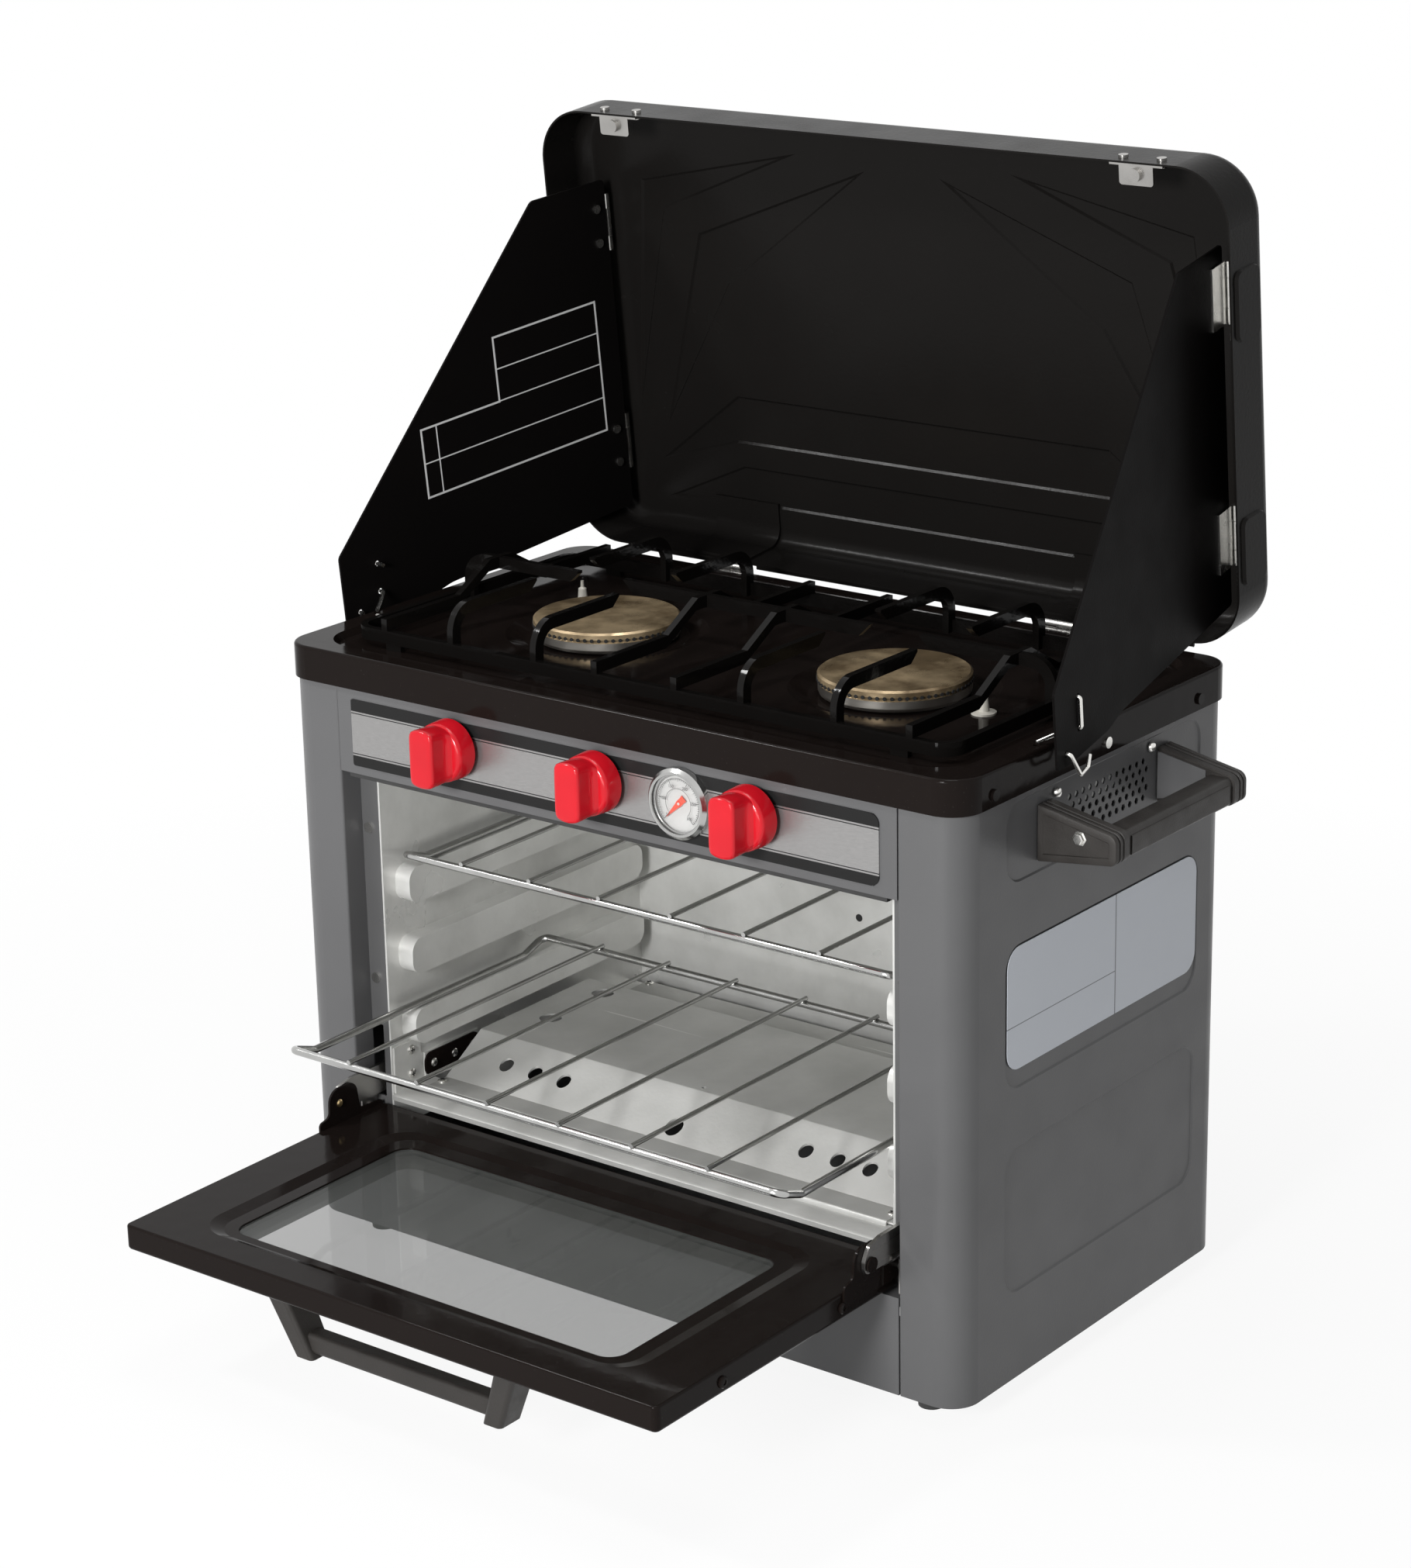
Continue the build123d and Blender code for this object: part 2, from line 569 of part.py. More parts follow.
# ---- controls
def knob(x):
    """Round base with an upright grip left between two side pockets."""
    back = -FACE_T - KNOB_OFF
    shoulder = back - KNOB_DISC_T
    front = shoulder - KNOB_GRIP_H
    body = along_y(x, KNOB_Z, (back, front), KNOB_R)
    half = KNOB_GRIP_W / 2
    for s in (-1, 1):
        body -= block((x + s * half, x + s * (KNOB_R + 2)), (shoulder, front - 1), (KNOB_Z - 25, KNOB_Z + 25))
    body = fillet(body.edges().group_by(Axis.Y)[0], 1.5)
    return body - along_y(x, KNOB_Z, (front + 4, back + 1), STEM_R + 0.05)


def valve_stem(x):
    front = -FACE_T - KNOB_OFF - KNOB_DISC_T - KNOB_GRIP_H + 4.3
    return along_y(x, KNOB_Z, (front, 11), STEM_R)


def valve_spindle(x):
    return along_y(x, KNOB_Z, (3, 15.7), SPINDLE_R) - along_y(x, KNOB_Z, (2, 16), STEM_R + RUN_FIT)


def valve(x):
    rear = MANIFOLD_Y - MANIFOLD_R - SEAT_GAP
    body = along_y(x, KNOB_Z, (6, rear), VALVE_R)
    body += block((x - VALVE_R, x + VALVE_R), (16, rear), (KNOB_Z - VALVE_R, KNOB_Z + VALVE_R))
    return body - along_y(x, KNOB_Z, (0, 16), SPINDLE_R + RUN_FIT)


def gas_manifold():
    """Pipe behind the valves and back to the inlet, on two brackets from the control panel."""
    end = CAVITY_HALF_W - 5
    points = [(-end, MANIFOLD_Y, KNOB_Z), (INLET_X, MANIFOLD_Y, KNOB_Z), (INLET_X, BACK_IN - 4, KNOB_Z)]
    pipe = wire(points, MANIFOLD_R, 18)
    for s in (-1, 1):
        x = s * (end - 20)
        pipe += block((x - 8, x + 8), (SHEET, MANIFOLD_Y), (KNOB_Z - 1, KNOB_Z + 1))
    return pipe


def gas_inlet():
    """Hexagon-flanged threaded fitting through the back panel."""
    outer = BACK_IN + SHEET
    hexagon = Pos(INLET_X, outer, KNOB_Z) * extrude(Plane.XZ * RegularPolygon(12.5, 6), 8, dir=(0, 1, 0))
    thread = along_y(INLET_X, KNOB_Z, (outer + 8, outer + 8 + INLET_THREAD_L), INLET_THREAD_R)
    shank = along_y(INLET_X, KNOB_Z, (BACK_IN - 3.7, outer), INLET_THREAD_R + 0.7)
    return hexagon + thread + shank - along_y(INLET_X, KNOB_Z, (BACK_IN, outer + 30), 3.5)


def burner_feed(side):
    """Tube from a side valve back along the oven and up into its burner."""
    x = KNOBS["left"] if side < 0 else KNOBS["right"]
    z = KNOB_Z + VALVE_R + SEAT_GAP
    rise = z + 5.2
    top = HOB_FLOOR - DISH_DEPTH - 16.3
    burner = (side * BURNER_X, BURNER_HOB_Y)
    return wire([(x, 21, z), (x, 21, rise), (*burner, rise), (*burner, top)], GAS_TUBE_R, 5)


def oven_feed():
    """Tube from the centre valve, over and down beside the cavity, to the oven burner."""
    x = KNOBS["centre"]
    z = KNOB_Z - VALVE_R - SEAT_GAP
    out = -(CAVITY_HALF_W + 30)
    low = OVEN_BURNER_Z
    path = [(x, 21, z), (x, 21, z - 11), (x, 60, z - 11), (out, 60, z - 11), (out, 60, low)]
    path += [(out, BURNER_Y, low), (-CAVITY_HALF_W + 11, BURNER_Y, low)]
    return wire(path, GAS_TUBE_R, 5)


# ---- oven thermometer
def gauge_revolve(points):
    """Turned piece on the gauge axis from (radius, y) points."""
    face = make_face(Polyline(*points, close=True))
    turned = revolve(Plane(origin=(0, 0, 0), x_dir=(1, 0, 0), z_dir=(0, 0, -1)) * face, Axis.Y)
    return Pos(GAUGE_X, 0, GAUGE_Z) * turned


def thermometer_bezel():
    """Rolled rim that stands proud of the faceplate."""
    r = GAUGE_R
    foot = FACE_T
    rim = FACE_T + GAUGE_PROUD
    half = [(r, foot), (r, rim - 2), (r - 2, rim), (r - 3.5, rim), (r - 3.5, rim - 1), (r - 2, rim - 1)]
    return gauge_revolve(half + [(r - 2, foot)])


def gauge_disc(y0, y1, r, hole=0.0):
    disc = rod((GAUGE_X, y0, GAUGE_Z), (GAUGE_X, y1, GAUGE_Z), r)
    if hole:
        disc -= rod((GAUGE_X, y0 - 1, GAUGE_Z), (GAUGE_X, y1 + 1, GAUGE_Z), hole)
    return disc


def thermometer_dial():
    dial = gauge_disc(-FACE_T - 1.2, -FACE_T, GAUGE_R - 2.1)
    dial += gauge_disc(-FACE_T - 3.2, -FACE_T - 1.2, 0.8)
    return dial + gauge_disc(-FACE_T, 8, GAUGE_R - 4)


def thermometer_lens():
    return gauge_disc(-FACE_T - GAUGE_PROUD + 1.1, -FACE_T - GAUGE_PROUD + 2.1, GAUGE_R - 2.2)


def thermometer_needle():
    y0, y1 = -FACE_T - 2.9, -FACE_T - 2.2
    hub = gauge_disc(y0, y1, 2.6)
    blade = profile_xz([(-1.3, -4), (1.3, -4), (0.5, 14.5), (-0.5, 14.5)], (y0, y1))
    blade = Pos(GAUGE_X, 0, GAUGE_Z) * Rot(0, -135, 0) * blade
    return hub + blade - gauge_disc(y0 - 1, y1 + 1, 0.9)


def thermometer_stem():
    """Tube from the back of the dial down through the roof, ending in a bulb that lies under the roof."""
    z = GAUGE_Z
    low = z - BULB_TUBE_DROP
    under = CAVITY_TOP - 5
    y1, y2 = BULB_TUBE_Y
    path = [(GAUGE_X, 8, z), (GAUGE_X, y1, z), (GAUGE_X, y1, low), (GAUGE_X, y2, low), (GAUGE_X, y2, under)]
    path.append((GAUGE_X, BULB_Y[0] + 2, under))
    return wire(path, 1.6, 4) + along_y(GAUGE_X, under, BULB_Y, 2.4)


# ---- cooktop and burners
def pan_recess(grow, drop):
    """Well of the cooktop with its two dishes; grow and drop offset it for the underside."""
    x = BODY_HALF_W - HOB_FLANGE + grow
    front = HOB_FLANGE - SKIRT_OVER - grow
    back = BODY_D - HOB_FLANGE + SKIRT_OVER + grow
    top = HOB_TOP - drop
    well = Plane(origin=(0, (front + back) / 2, top)) * extrude(
        RectangleRounded(2 * x, back - front, HOB_R + grow), -HOB_DEPTH, taper=40)
    for side in (-1, 1):
        dish = Pos(side * BURNER_X, BURNER_HOB_Y, HOB_FLOOR - drop - DISH_DEPTH / 2) * Cone(
            DISH_R - 12 + grow, DISH_R + grow, DISH_DEPTH)
        well += dish
    return well


def cooktop():
    x = BODY_HALF_W + SKIRT_OVER
    y = (-SKIRT_OVER, BODY_D + SKIRT_OVER)
    top = plate((-x, x), y, (BODY_TOP, HOB_TOP), SKIRT_R)
    top = fillet(top.edges().group_by(Axis.Z)[-1], 2)
    hollow_x = (-x + SHEET, x - SHEET)
    hollow_y = (y[0] + SHEET, y[1] - SHEET)
    inside = plate(hollow_x, hollow_y, (BODY_TOP - 1, HOB_TOP - SHEET), SKIRT_R - SHEET)
    top -= inside - pan_recess(SHEET, SHEET)
    top -= pan_recess(0, 0)
    for hole_x, hole_y in IGNITERS:
        top -= Pos(hole_x, hole_y, HOB_FLOOR) * Cylinder(4, 20)
    for side in (-1, 1):
        top -= Pos(side * BURNER_X, BURNER_HOB_Y, HOB_FLOOR) * Cylinder(NECK_R + 1, 20)
        top -= Pos(side * STAY_X, STAY_Y, HOB_TOP) * Cylinder(STAY_R + 1.0, 10)
    return top


def burner_base():
    """Cast body: neck through the dish, foot on the dish and ring under the cap."""
    floor = HOB_FLOOR - DISH_DEPTH
    top = floor + BURNER_BASE_H
    r = BURNER_R
    half = [(0, floor - 16), (NECK_R, floor - 16), (NECK_R, floor), (NECK_R + 7, floor)]
    half += [(NECK_R + 7, floor + 0.8), (r - 2.6, floor + 0.8), (r - 0.8, floor + 1.6), (r, floor + 3.4)]
    half += [(r, top), (0, top)]
    turned = revolve(Plane.XZ * make_face(Polyline(*half, close=True)), Axis.Z)
    at_foot = (Align.CENTER, Align.CENTER, Align.MIN)
    turned -= Pos(0, 0, floor - 16) * Cylinder(GAS_TUBE_R + 2, 8, align=at_foot)
    return Pos(BURNER_X, BURNER_HOB_Y, 0) * turned


def burner_cap():
    z = HOB_FLOOR - DISH_DEPTH + BURNER_BASE_H
    top = z + BURNER_CAP_H
    r = BURNER_R + 0.4
    half = [(0, z), (r - 1.2, z), (r - 0.4, z + 2.2), (r, z + 2.4), (r, top - 1.2), (r - 1.4, top)]
    half.append((0, top + 0.5))
    return Pos(BURNER_X, BURNER_HOB_Y, 0) * revolve(Plane.XZ * make_face(Polyline(*half, close=True)), Axis.Z)


def igniter(x, y):
    """Ceramic spark post on its round flange."""
    z = HOB_FLOOR
    half = [(0, z - 14), (3.2, z - 14), (3.2, z), (7.5, z), (7.5, z + 1.2), (3.4, z + 1.8), (2.6, z + 11)]
    half += [(1.1, z + 12), (1.0, z + 16), (0, z + 16)]
    return Pos(x, y, 0) * revolve(Plane.XZ * make_face(Polyline(*half, close=True)), Axis.Z)


# ---- pot grate
def hump_bar(x):
    """Frame-to-frame bar that humps up under the pots at mid-depth."""
    m = GRATE_MID
    f, b = GRATE_FRONT, GRATE_BACK
    low, top = GRATE_TOP, GRATE_TOP + BAR_H - 0.5
    t = BAR_H - 0.5
    pts = [(f, top), (m - 41, top), (m - 11, POT_TOP), (m + 11, POT_TOP), (m + 41, top), (b, top), (b, low),
           (m + 43, low), (m + 13, POT_TOP - t), (m - 13, POT_TOP - t), (m - 43, low), (f, low)]
    return profile_yz(pts, (x - BAR_T / 2, x + BAR_T / 2))


def finger(x, root, tip):
    """Upright from the frame that curves over and ends in a bevel above the burner."""
    s = 1 if tip > root else -1
    path = [(root + s * 2, HOB_TOP), (root + s * 2, POT_TOP - BAR_H / 2), (tip, POT_TOP - BAR_H / 2)]
    bar = strip(path, BAR_H - 0.5, 14, (x - BAR_T / 2, x + BAR_T / 2))
    wedge = [(tip + s, POT_TOP - BAR_H), (tip - s * 8, POT_TOP - BAR_H - 1), (tip + s, POT_TOP - 1)]
    return bar - profile_yz(wedge, (x - 5, x + 5))


def side_finger():
    y = GRATE_MID
    z = POT_TOP - BAR_H / 2
    e = SIDE_FINGER_END
    root = GRATE_HALF_W - 4
    line = FilletPolyline((root, GRATE_TOP - BAR_H), (root, z), (e, z), radius=14)
    bar = extrude(Plane.XZ * trace(line, BAR_H - 0.5), BAR_T, dir=(0, 1, 0))
    wedge = [(e - 1, POT_TOP - 1), (e - 1, POT_TOP - BAR_H - 1), (e + 8, POT_TOP - BAR_H - 1)]
    return Pos(0, y - BAR_T / 2, 0) * bar - profile_xz(wedge, (y - 5, y + 5))


def grate():
    x = GRATE_HALF_W
    y = (GRATE_FRONT, GRATE_BACK)
    z = (HOB_TOP, GRATE_TOP)
    frame = plate((-x, x), y, z, GRATE_R)
    inner_x = (-x + BAR_T, x - BAR_T)
    inner_y = (y[0] + BAR_T, y[1] - BAR_T)
    frame -= plate(inner_x, inner_y, (z[0] - 1, z[1] + 1), GRATE_R - BAR_T)
    bars = [hump_bar(s * bx) for bx in (INNER_BAR_X, OUTER_BAR_X) for s in (-1, 1)]
    for fx in FINGER_X:
        for s in (-1, 1):
            bars.append(finger(s * fx, GRATE_FRONT + 3, FINGER_FRONT_END))
            bars.append(finger(s * fx, GRATE_BACK - 3, FINGER_BACK_END))
    bars += [side_finger(), flip(side_finger())]
    h = MIDDLE_BAR_HALF
    t = POT_TOP
    bevelled = [(-h, t), (h, t), (h - 8, t - BAR_H), (8 - h, t - BAR_H)]
    bars.append(profile_xz(bevelled, (GRATE_MID - BAR_T / 2, GRATE_MID + BAR_T / 2)))
    foot_x = GRATE_HALF_W - 35
    for s in (-1, 1):
        for fy in (GRATE_FRONT + 2, GRATE_BACK - 2):
            bars.append(block((s * foot_x - 6, s * foot_x + 6), (fy - 2, fy + 2), (HOB_FLOOR, HOB_TOP + 1)))
    for bar in bars:
        frame += bar
    return frame


# ---- side handles
def side_handle():
    """Grip bar between two brackets that taper outwards from the body."""
    x0 = BODY_HALF_W
    x1 = x0 + GRAB_OUT
    top = GRAB_TOP
    end = top - 10
    outline = [(x0, top), (x1 - 8, top - 7), (x1, end), (x1, end - GRAB_END_H + 3), (x1 - 4, end - GRAB_END_H)]
    outline.append((x0, top - GRAB_ROOT_H))
    front = profile_xz(outline, (GRAB_FRONT, GRAB_FRONT + GRAB_BRACKET_W))
    rear = profile_xz(outline, (GRAB_BACK - GRAB_BRACKET_W, GRAB_BACK))
    front = fillet(front.edges().filter_by(Axis.Y).group_by(Axis.X)[-1], 3)
    rear = fillet(rear.edges().filter_by(Axis.Y).group_by(Axis.X)[-1], 3)
    bolt_x = x1 - 23.4
    bolt_z = top - 14.5
    front -= along_y(bolt_x, bolt_z, (GRAB_FRONT - 1, GRAB_FRONT + 4), 4.5)
    rear -= along_y(bolt_x, bolt_z, (GRAB_BACK - 4, GRAB_BACK + 1), 4.5)
    z1 = top - 9.5
    bar_y = (GRAB_FRONT + GRAB_BRACKET_W, GRAB_BACK - GRAB_BRACKET_W)
    bar = block((x1 - 1.5 - GRAB_BAR_W, x1 - 1.5), bar_y, (z1 - GRAB_END_H, z1 - 1))
    return group([front, rear, fillet(bar.edges().filter_by(Axis.Y), 3.5)])


# ---- door
def door_outer_frame():
    """Folded skin of the door, hollow, with a walled opening for the window."""
    x = DOOR_HALF_W
    y = (DOOR_FRONT, DOOR_REAR)
    top = DOOR_TOP - DOOR_FRAME_H
    skin = plate((-x, x), y, (DOOR_BOTTOM, top), DOOR_CORNER_R)
    skin = fillet(skin.edges().group_by(Axis.Z)[0], 2.5)
    w = WINDOW_HALF_W
    wy = (DOOR_FRONT + WINDOW_FRONT, DOOR_REAR - WINDOW_REAR)
    hollow_x = (-x + SHEET, x - SHEET)
    hollow_y = (y[0] + SHEET, y[1] - SHEET)
    hollow = plate(hollow_x, hollow_y, (DOOR_BOTTOM + SHEET, top + 1), DOOR_CORNER_R - SHEET)
    under_glass = DOOR_TOP - RECESS_DEPTH - SHEET - GLASS_T
    tunnel_x = (-w - SHEET, w + SHEET)
    tunnel_y = (wy[0] - SHEET, wy[1] + SHEET)
    skin -= hollow - plate(tunnel_x, tunnel_y, (DOOR_BOTTOM, under_glass), WINDOW_R + SHEET)
    return skin - plate((-w, w), wy, (DOOR_BOTTOM - 1, top + 2), WINDOW_R)


def door_inner_frame():
    """Pressed inner sheet with a dished band round the window."""
    x = DOOR_HALF_W
    y = (DOOR_FRONT, DOOR_REAR)
    r = RECESS_HALF_W
    ry = (DOOR_FRONT + RECESS_FRONT, DOOR_REAR - RECESS_REAR)
    lip = DOOR_TOP - RECESS_DEPTH - SHEET
    frame = plate((-x, x), y, (DOOR_TOP - DOOR_FRAME_H, DOOR_TOP), DOOR_CORNER_R)
    frame = fillet(frame.edges().group_by(Axis.Z)[-1], 1.5)
    rim_x = (-x + SHEET, x - SHEET)
    rim_y = (y[0] + SHEET, y[1] - SHEET)
    rim = plate(rim_x, rim_y, (DOOR_TOP - DOOR_FRAME_H - 1, DOOR_TOP - SHEET), DOOR_CORNER_R - SHEET)
    well = plate((-r - SHEET, r + SHEET), (ry[0] - SHEET, ry[1] + SHEET), (lip, DOOR_TOP), RECESS_R + SHEET)
    frame -= rim - well
    length = ry[1] - ry[0]
    middle = (ry[0] + ry[1]) / 2
    inner_w = 2 * (r - RECESS_SLOPE)
    inner_l = length - 1.2 * RECESS_SLOPE
    upper = Pos(0, middle, DOOR_TOP) * RectangleRounded(2 * r, length, RECESS_R)
    lower = Pos(0, middle, DOOR_TOP - RECESS_DEPTH) * RectangleRounded(inner_w, inner_l, RECESS_R - 4)
    frame -= loft([upper, lower])
    wy = (DOOR_FRONT + WINDOW_FRONT, DOOR_REAR - WINDOW_REAR)
    return frame - plate((-WINDOW_HALF_W, WINDOW_HALF_W), wy, (lip - 5, DOOR_TOP + 1), WINDOW_R)


def door_glass():
    x = WINDOW_HALF_W + GLASS_LAP
    wy = (DOOR_FRONT + WINDOW_FRONT - GLASS_LAP, DOOR_REAR - WINDOW_REAR + GLASS_LAP)
    top = DOOR_TOP - RECESS_DEPTH - SHEET
    return plate((-x, x), wy, (top - GLASS_T, top), WINDOW_R + GLASS_LAP)


def door_handle():
    """Grip bar hung between two tapering arms below the open door."""
    y = DOOR_FRONT + HANDLE_INSET_Y
    end = DOOR_BOTTOM - HANDLE_REACH
    base = Pos(HANDLE_BASE_X, y, DOOR_BOTTOM) * RectangleRounded(ARM_W, ARM_D, 3)
    tip = Pos(HANDLE_END_X, y + 4, end) * RectangleRounded(ARM_W - 2, ARM_D - 3, 3)
    arm = loft([base, tip])
    mid_y = y + 3.5
    grip_y = (mid_y - GRIP_T / 2, mid_y + GRIP_T / 2)
    grip = block((-HANDLE_BASE_X, HANDLE_BASE_X), grip_y, (end + 3, end + 3 + GRIP_T))
    grip = fillet(grip.edges().filter_by(Axis.X), 3) - arm - flip(arm)
    return group([arm, flip(arm), grip.solids().sort_by(Axis.X)[len(grip.solids()) // 2]])


def ear():
    """Plate on the door's side that carries the hinge pin and the link rivet."""
    x = (DOOR_HALF_W, DOOR_HALF_W + EAR_T)
    ry = HINGE_Y - RIVET_BACK
    rz = HINGE_Z + RIVET_RISE
    foot = HINGE_Z - 6
    pts = [(HINGE_Y + 3, foot), (HINGE_Y + 3, HINGE_Z + 5), (ry + EAR_R + 3, HINGE_Z + 6)]
    pts += [(ry + EAR_R, rz + EAR_R), (ry - EAR_R, rz + EAR_R), (ry - EAR_R - 1, HINGE_Z + 9)]
    pts += [(ry - EAR_TOE, HINGE_Z + 7), (ry - EAR_TOE, foot)]
    outline = FilletPolyline(*pts, radius=[2, 2, 4, 8, 9, 4, 3, 2], close=True)
    body = Pos(x[0], 0, 0) * extrude(Plane.YZ * make_face(outline), EAR_T, dir=(1, 0, 0))
    body -= across(HINGE_Y, HINGE_Z, (x[0] - 1, x[1] + 1), PIN_R + RUN_FIT)
    shank = x[1] + SEAT_GAP + LINK_T + SEAT_GAP
    body += across(ry, rz, (x[0], shank), RIVET_R)
    return body + across(ry, rz, (shank, shank + 1.2), RIVET_R + 2.5)


def door_link():
    """Arm from the rivet back into the slot beside the cavity."""
    x = DOOR_HALF_W + EAR_T + SEAT_GAP
    y = HINGE_Y - RIVET_BACK
    z = HINGE_Z + RIVET_RISE
    top = z + LINK_RISE
    low = z - LINK_DROP
    pts = [(y - 6, low), (y - 6, z + 3), (y - 1.5, top - 2.6), (y + 10, top)]
    pts += [(y + LINK_L, top), (y + LINK_L, low)]
    outline = FilletPolyline(*pts, radius=[4, 4, 3, 6, 4, 4], close=True)
    body = Pos(x, 0, 0) * extrude(Plane.YZ * make_face(outline), LINK_T, dir=(1, 0, 0))
    return body - across(y, z, (x - 1, x + LINK_T + 1), RIVET_R + RUN_FIT)


def hinge_bracket():
    """Angle on the stile with the pin that the door turns on."""
    x = SEAM_X
    body = block((x - EAR_T, x), (2, STILE_D - SEAT_GAP), (LOWER_TOP + 2, HINGE_Z + 9))
    return body + across(HINGE_Y, HINGE_Z, (DOOR_HALF_W + 0.2, x - EAR_T), PIN_R)


# ---- lid, built shut and then turned up
def pressing(outline, z, depth):
    """Flat-topped swelling above z, sloped at its edges, from (x, distance from the hinge) points."""
    points = [(x, LID_HINGE_Y - v) for x, v in outline]
    face = make_face(Polyline(*points, close=True))
    return Pos(0, 0, z) * extrude(face, depth, dir=(0, 0, 1), taper=BEAD_SLOPE)


def boss(v):
    """Swelling outside the lid's right wall over a windshield hinge."""
    h = BOSS_RISE[1] - BOSS_RISE[0]
    middle = (LID_HALF_W - 0.2, LID_HINGE_Y - v, LID_RIM + (BOSS_RISE[0] + BOSS_RISE[1]) / 2)
    face = Plane(origin=middle, x_dir=(0, 1, 0), z_dir=(1, 0, 0)) * RectangleRounded(BOSS_L, h, 6)
    return extrude(face, BOSS_H + 0.2, taper=30)


def lid():
    x = LID_HALF_W
    y = (LID_REAR - LID_L, LID_REAR)
    top = LID_RIM + LID_H
    shell = plate((-x, x), y, (LID_RIM, top), LID_R)
    shell = fillet(shell.edges().group_by(Axis.Z)[-1], LID_EDGE_R)
    inside_y = (y[0] + SHEET, y[1] - SHEET)
    inside = plate((-x + SHEET, x - SHEET), inside_y, (LID_RIM - 1, top - SHEET), LID_R - SHEET)
    shell -= fillet(inside.edges().group_by(Axis.Z)[-1], LID_EDGE_R - SHEET)
    beads = list(CROSS_BEADS) + list(SIDE_BEADS)
    beads += [[(-px, v) for px, v in reversed(outline)] for outline in SIDE_BEADS]
    for outline in beads:
        shell += pressing(outline, top, BEAD_DEPTH - 0.6)
    for outline in beads:
        shell -= pressing(outline, top - SHEET, BEAD_DEPTH - 0.6)
    for v in SHIELD_HINGE_AT:
        shell += boss(v)
        shell += flip(boss(v))
    holes = catch_rivets(CATCH_RIVET_R + 0.1)
    return shell - holes - flip(holes)


def lid_hinge_leaf():
    """Leaf that runs from the pin over the skirt and up the outside of the lid's rear wall."""
    z0 = LID_HINGE_Z + KNUCKLE_R - LEAF_T / 2
    y = LID_REAR + LEAF_T / 2
    c = (LID_HINGE_Y, LID_HINGE_Z)
    path = [(LID_HINGE_Y, z0), (y, z0), (y, z0 + LID_LEAF_H)]
    leaf = strip(path, LEAF_T, 1.2, (KNUCKLE_X[0] - 18, KNUCKLE_X[2]))
    clear_y = (LID_REAR - 1, LID_HINGE_Y + 5)
    clear_z = (LID_HINGE_Z - 5, LID_HINGE_Z + KNUCKLE_R + 0.5)
    leaf -= block((KNUCKLE_X[0] - 19, KNUCKLE_X[0]), clear_y, clear_z)
    leaf -= block((KNUCKLE_X[1] - SEAT_GAP, KNUCKLE_X[2] + 1), clear_y, clear_z)
    leaf += across(*c, (KNUCKLE_X[0], KNUCKLE_X[1] - SEAT_GAP), KNUCKLE_R)
    return leaf - across(*c, (KNUCKLE_X[0] - 1, KNUCKLE_X[1] + 1), HINGE_PIN_R + RUN_FIT)


def lid_hinge_plate():
    """Plate inside the lid that backs the hinge: along the rear wall and up the lid's back."""
    y = LID_REAR - SHEET - LEAF_T / 2
    z = LID_RIM + LID_H - SHEET - LEAF_T / 2
    path = [(y, LID_RIM + 3), (y, z), (y - LID_LEAF_REACH, z)]
    return strip(path, LEAF_T, LID_EDGE_R + 1, (LID_LEAF_IN, LID_LEAF_OUT))


def cooktop_hinge_leaf():
    """Leaf on the rear of the skirt, with the hinge pin."""
    y = BODY_D + SKIRT_OVER
    c = (LID_HINGE_Y, LID_HINGE_Z)
    low = BODY_TOP + 1
    leaf = block((KNUCKLE_X[0] - 14, KNUCKLE_X[2]), (y, y + LEAF_T), (low, LID_HINGE_Z - KNUCKLE_R - 1.5))
    leaf += block((KNUCKLE_X[1], KNUCKLE_X[2]), (y + SEAT_GAP, y + SEAT_GAP + LEAF_T), (low, LID_HINGE_Z))
    leaf += across(*c, (KNUCKLE_X[1], KNUCKLE_X[2]), KNUCKLE_R)
    return leaf + across(*c, (KNUCKLE_X[0] - 1.5, KNUCKLE_X[1]), HINGE_PIN_R)


def catch_rivets(r):
    """The two rivets of the right catch, through the lid's front wall."""
    front = LID_REAR - LID_L
    z = LID_RIM + 9
    near = along_y(CATCH_X - CATCH_RIVET_X, z, (front - 1.6, front + 4.2), r)
    return near + along_y(CATCH_X + CATCH_RIVET_X, z, (front - 1.6, front + 4.2), r)


def lid_catch():
    """Latch plate on the lid's front wall, with a dimpled tab over the rim and two rivets."""
    front = LID_REAR - LID_L
    inner = front + SHEET
    body = block((CATCH_X - 18, CATCH_X + 18), (inner, inner + 1.5), (LID_RIM + 1, LID_RIM + 15))
    tab = plate((CATCH_X - 11.5, CATCH_X + 11.5), (inner, inner + 13), (LID_RIM + 1, LID_RIM + 2.5), 2)
    body += tab
    body += Pos(CATCH_X, inner + 6.5, LID_RIM - 0.3) * Cylinder(4, 2.8)
    return body + catch_rivets(CATCH_RIVET_R)


SHIELD_TAN = math.tan(math.radians(SHIELD_SPLAY))
SHIELD_COS = math.cos(math.radians(SHIELD_SPLAY))
SHIELD_SIN = math.sin(math.radians(SHIELD_SPLAY))
# Plane of the right windshield while the lid is shut: x forward from the hinge edge, y along the lid
SHIELD_PLANE = Plane(origin=(SHIELD_EDGE_X, LID_HINGE_Y, LID_RIM + SHIELD_EDGE_W),
                     x_dir=(SHIELD_SIN, 0, -SHIELD_COS), z_dir=(-SHIELD_COS, 0, -SHIELD_SIN))
SHIELD_OUT = SHIELD_T / 2
PIVOT_X = SHIELD_EDGE_X + SHIELD_OUT + SHIELD_KNUCKLE_R - 0.6
PIVOT_W = SHIELD_EDGE_W + SHIELD_KNUCKLE_R + 1.2


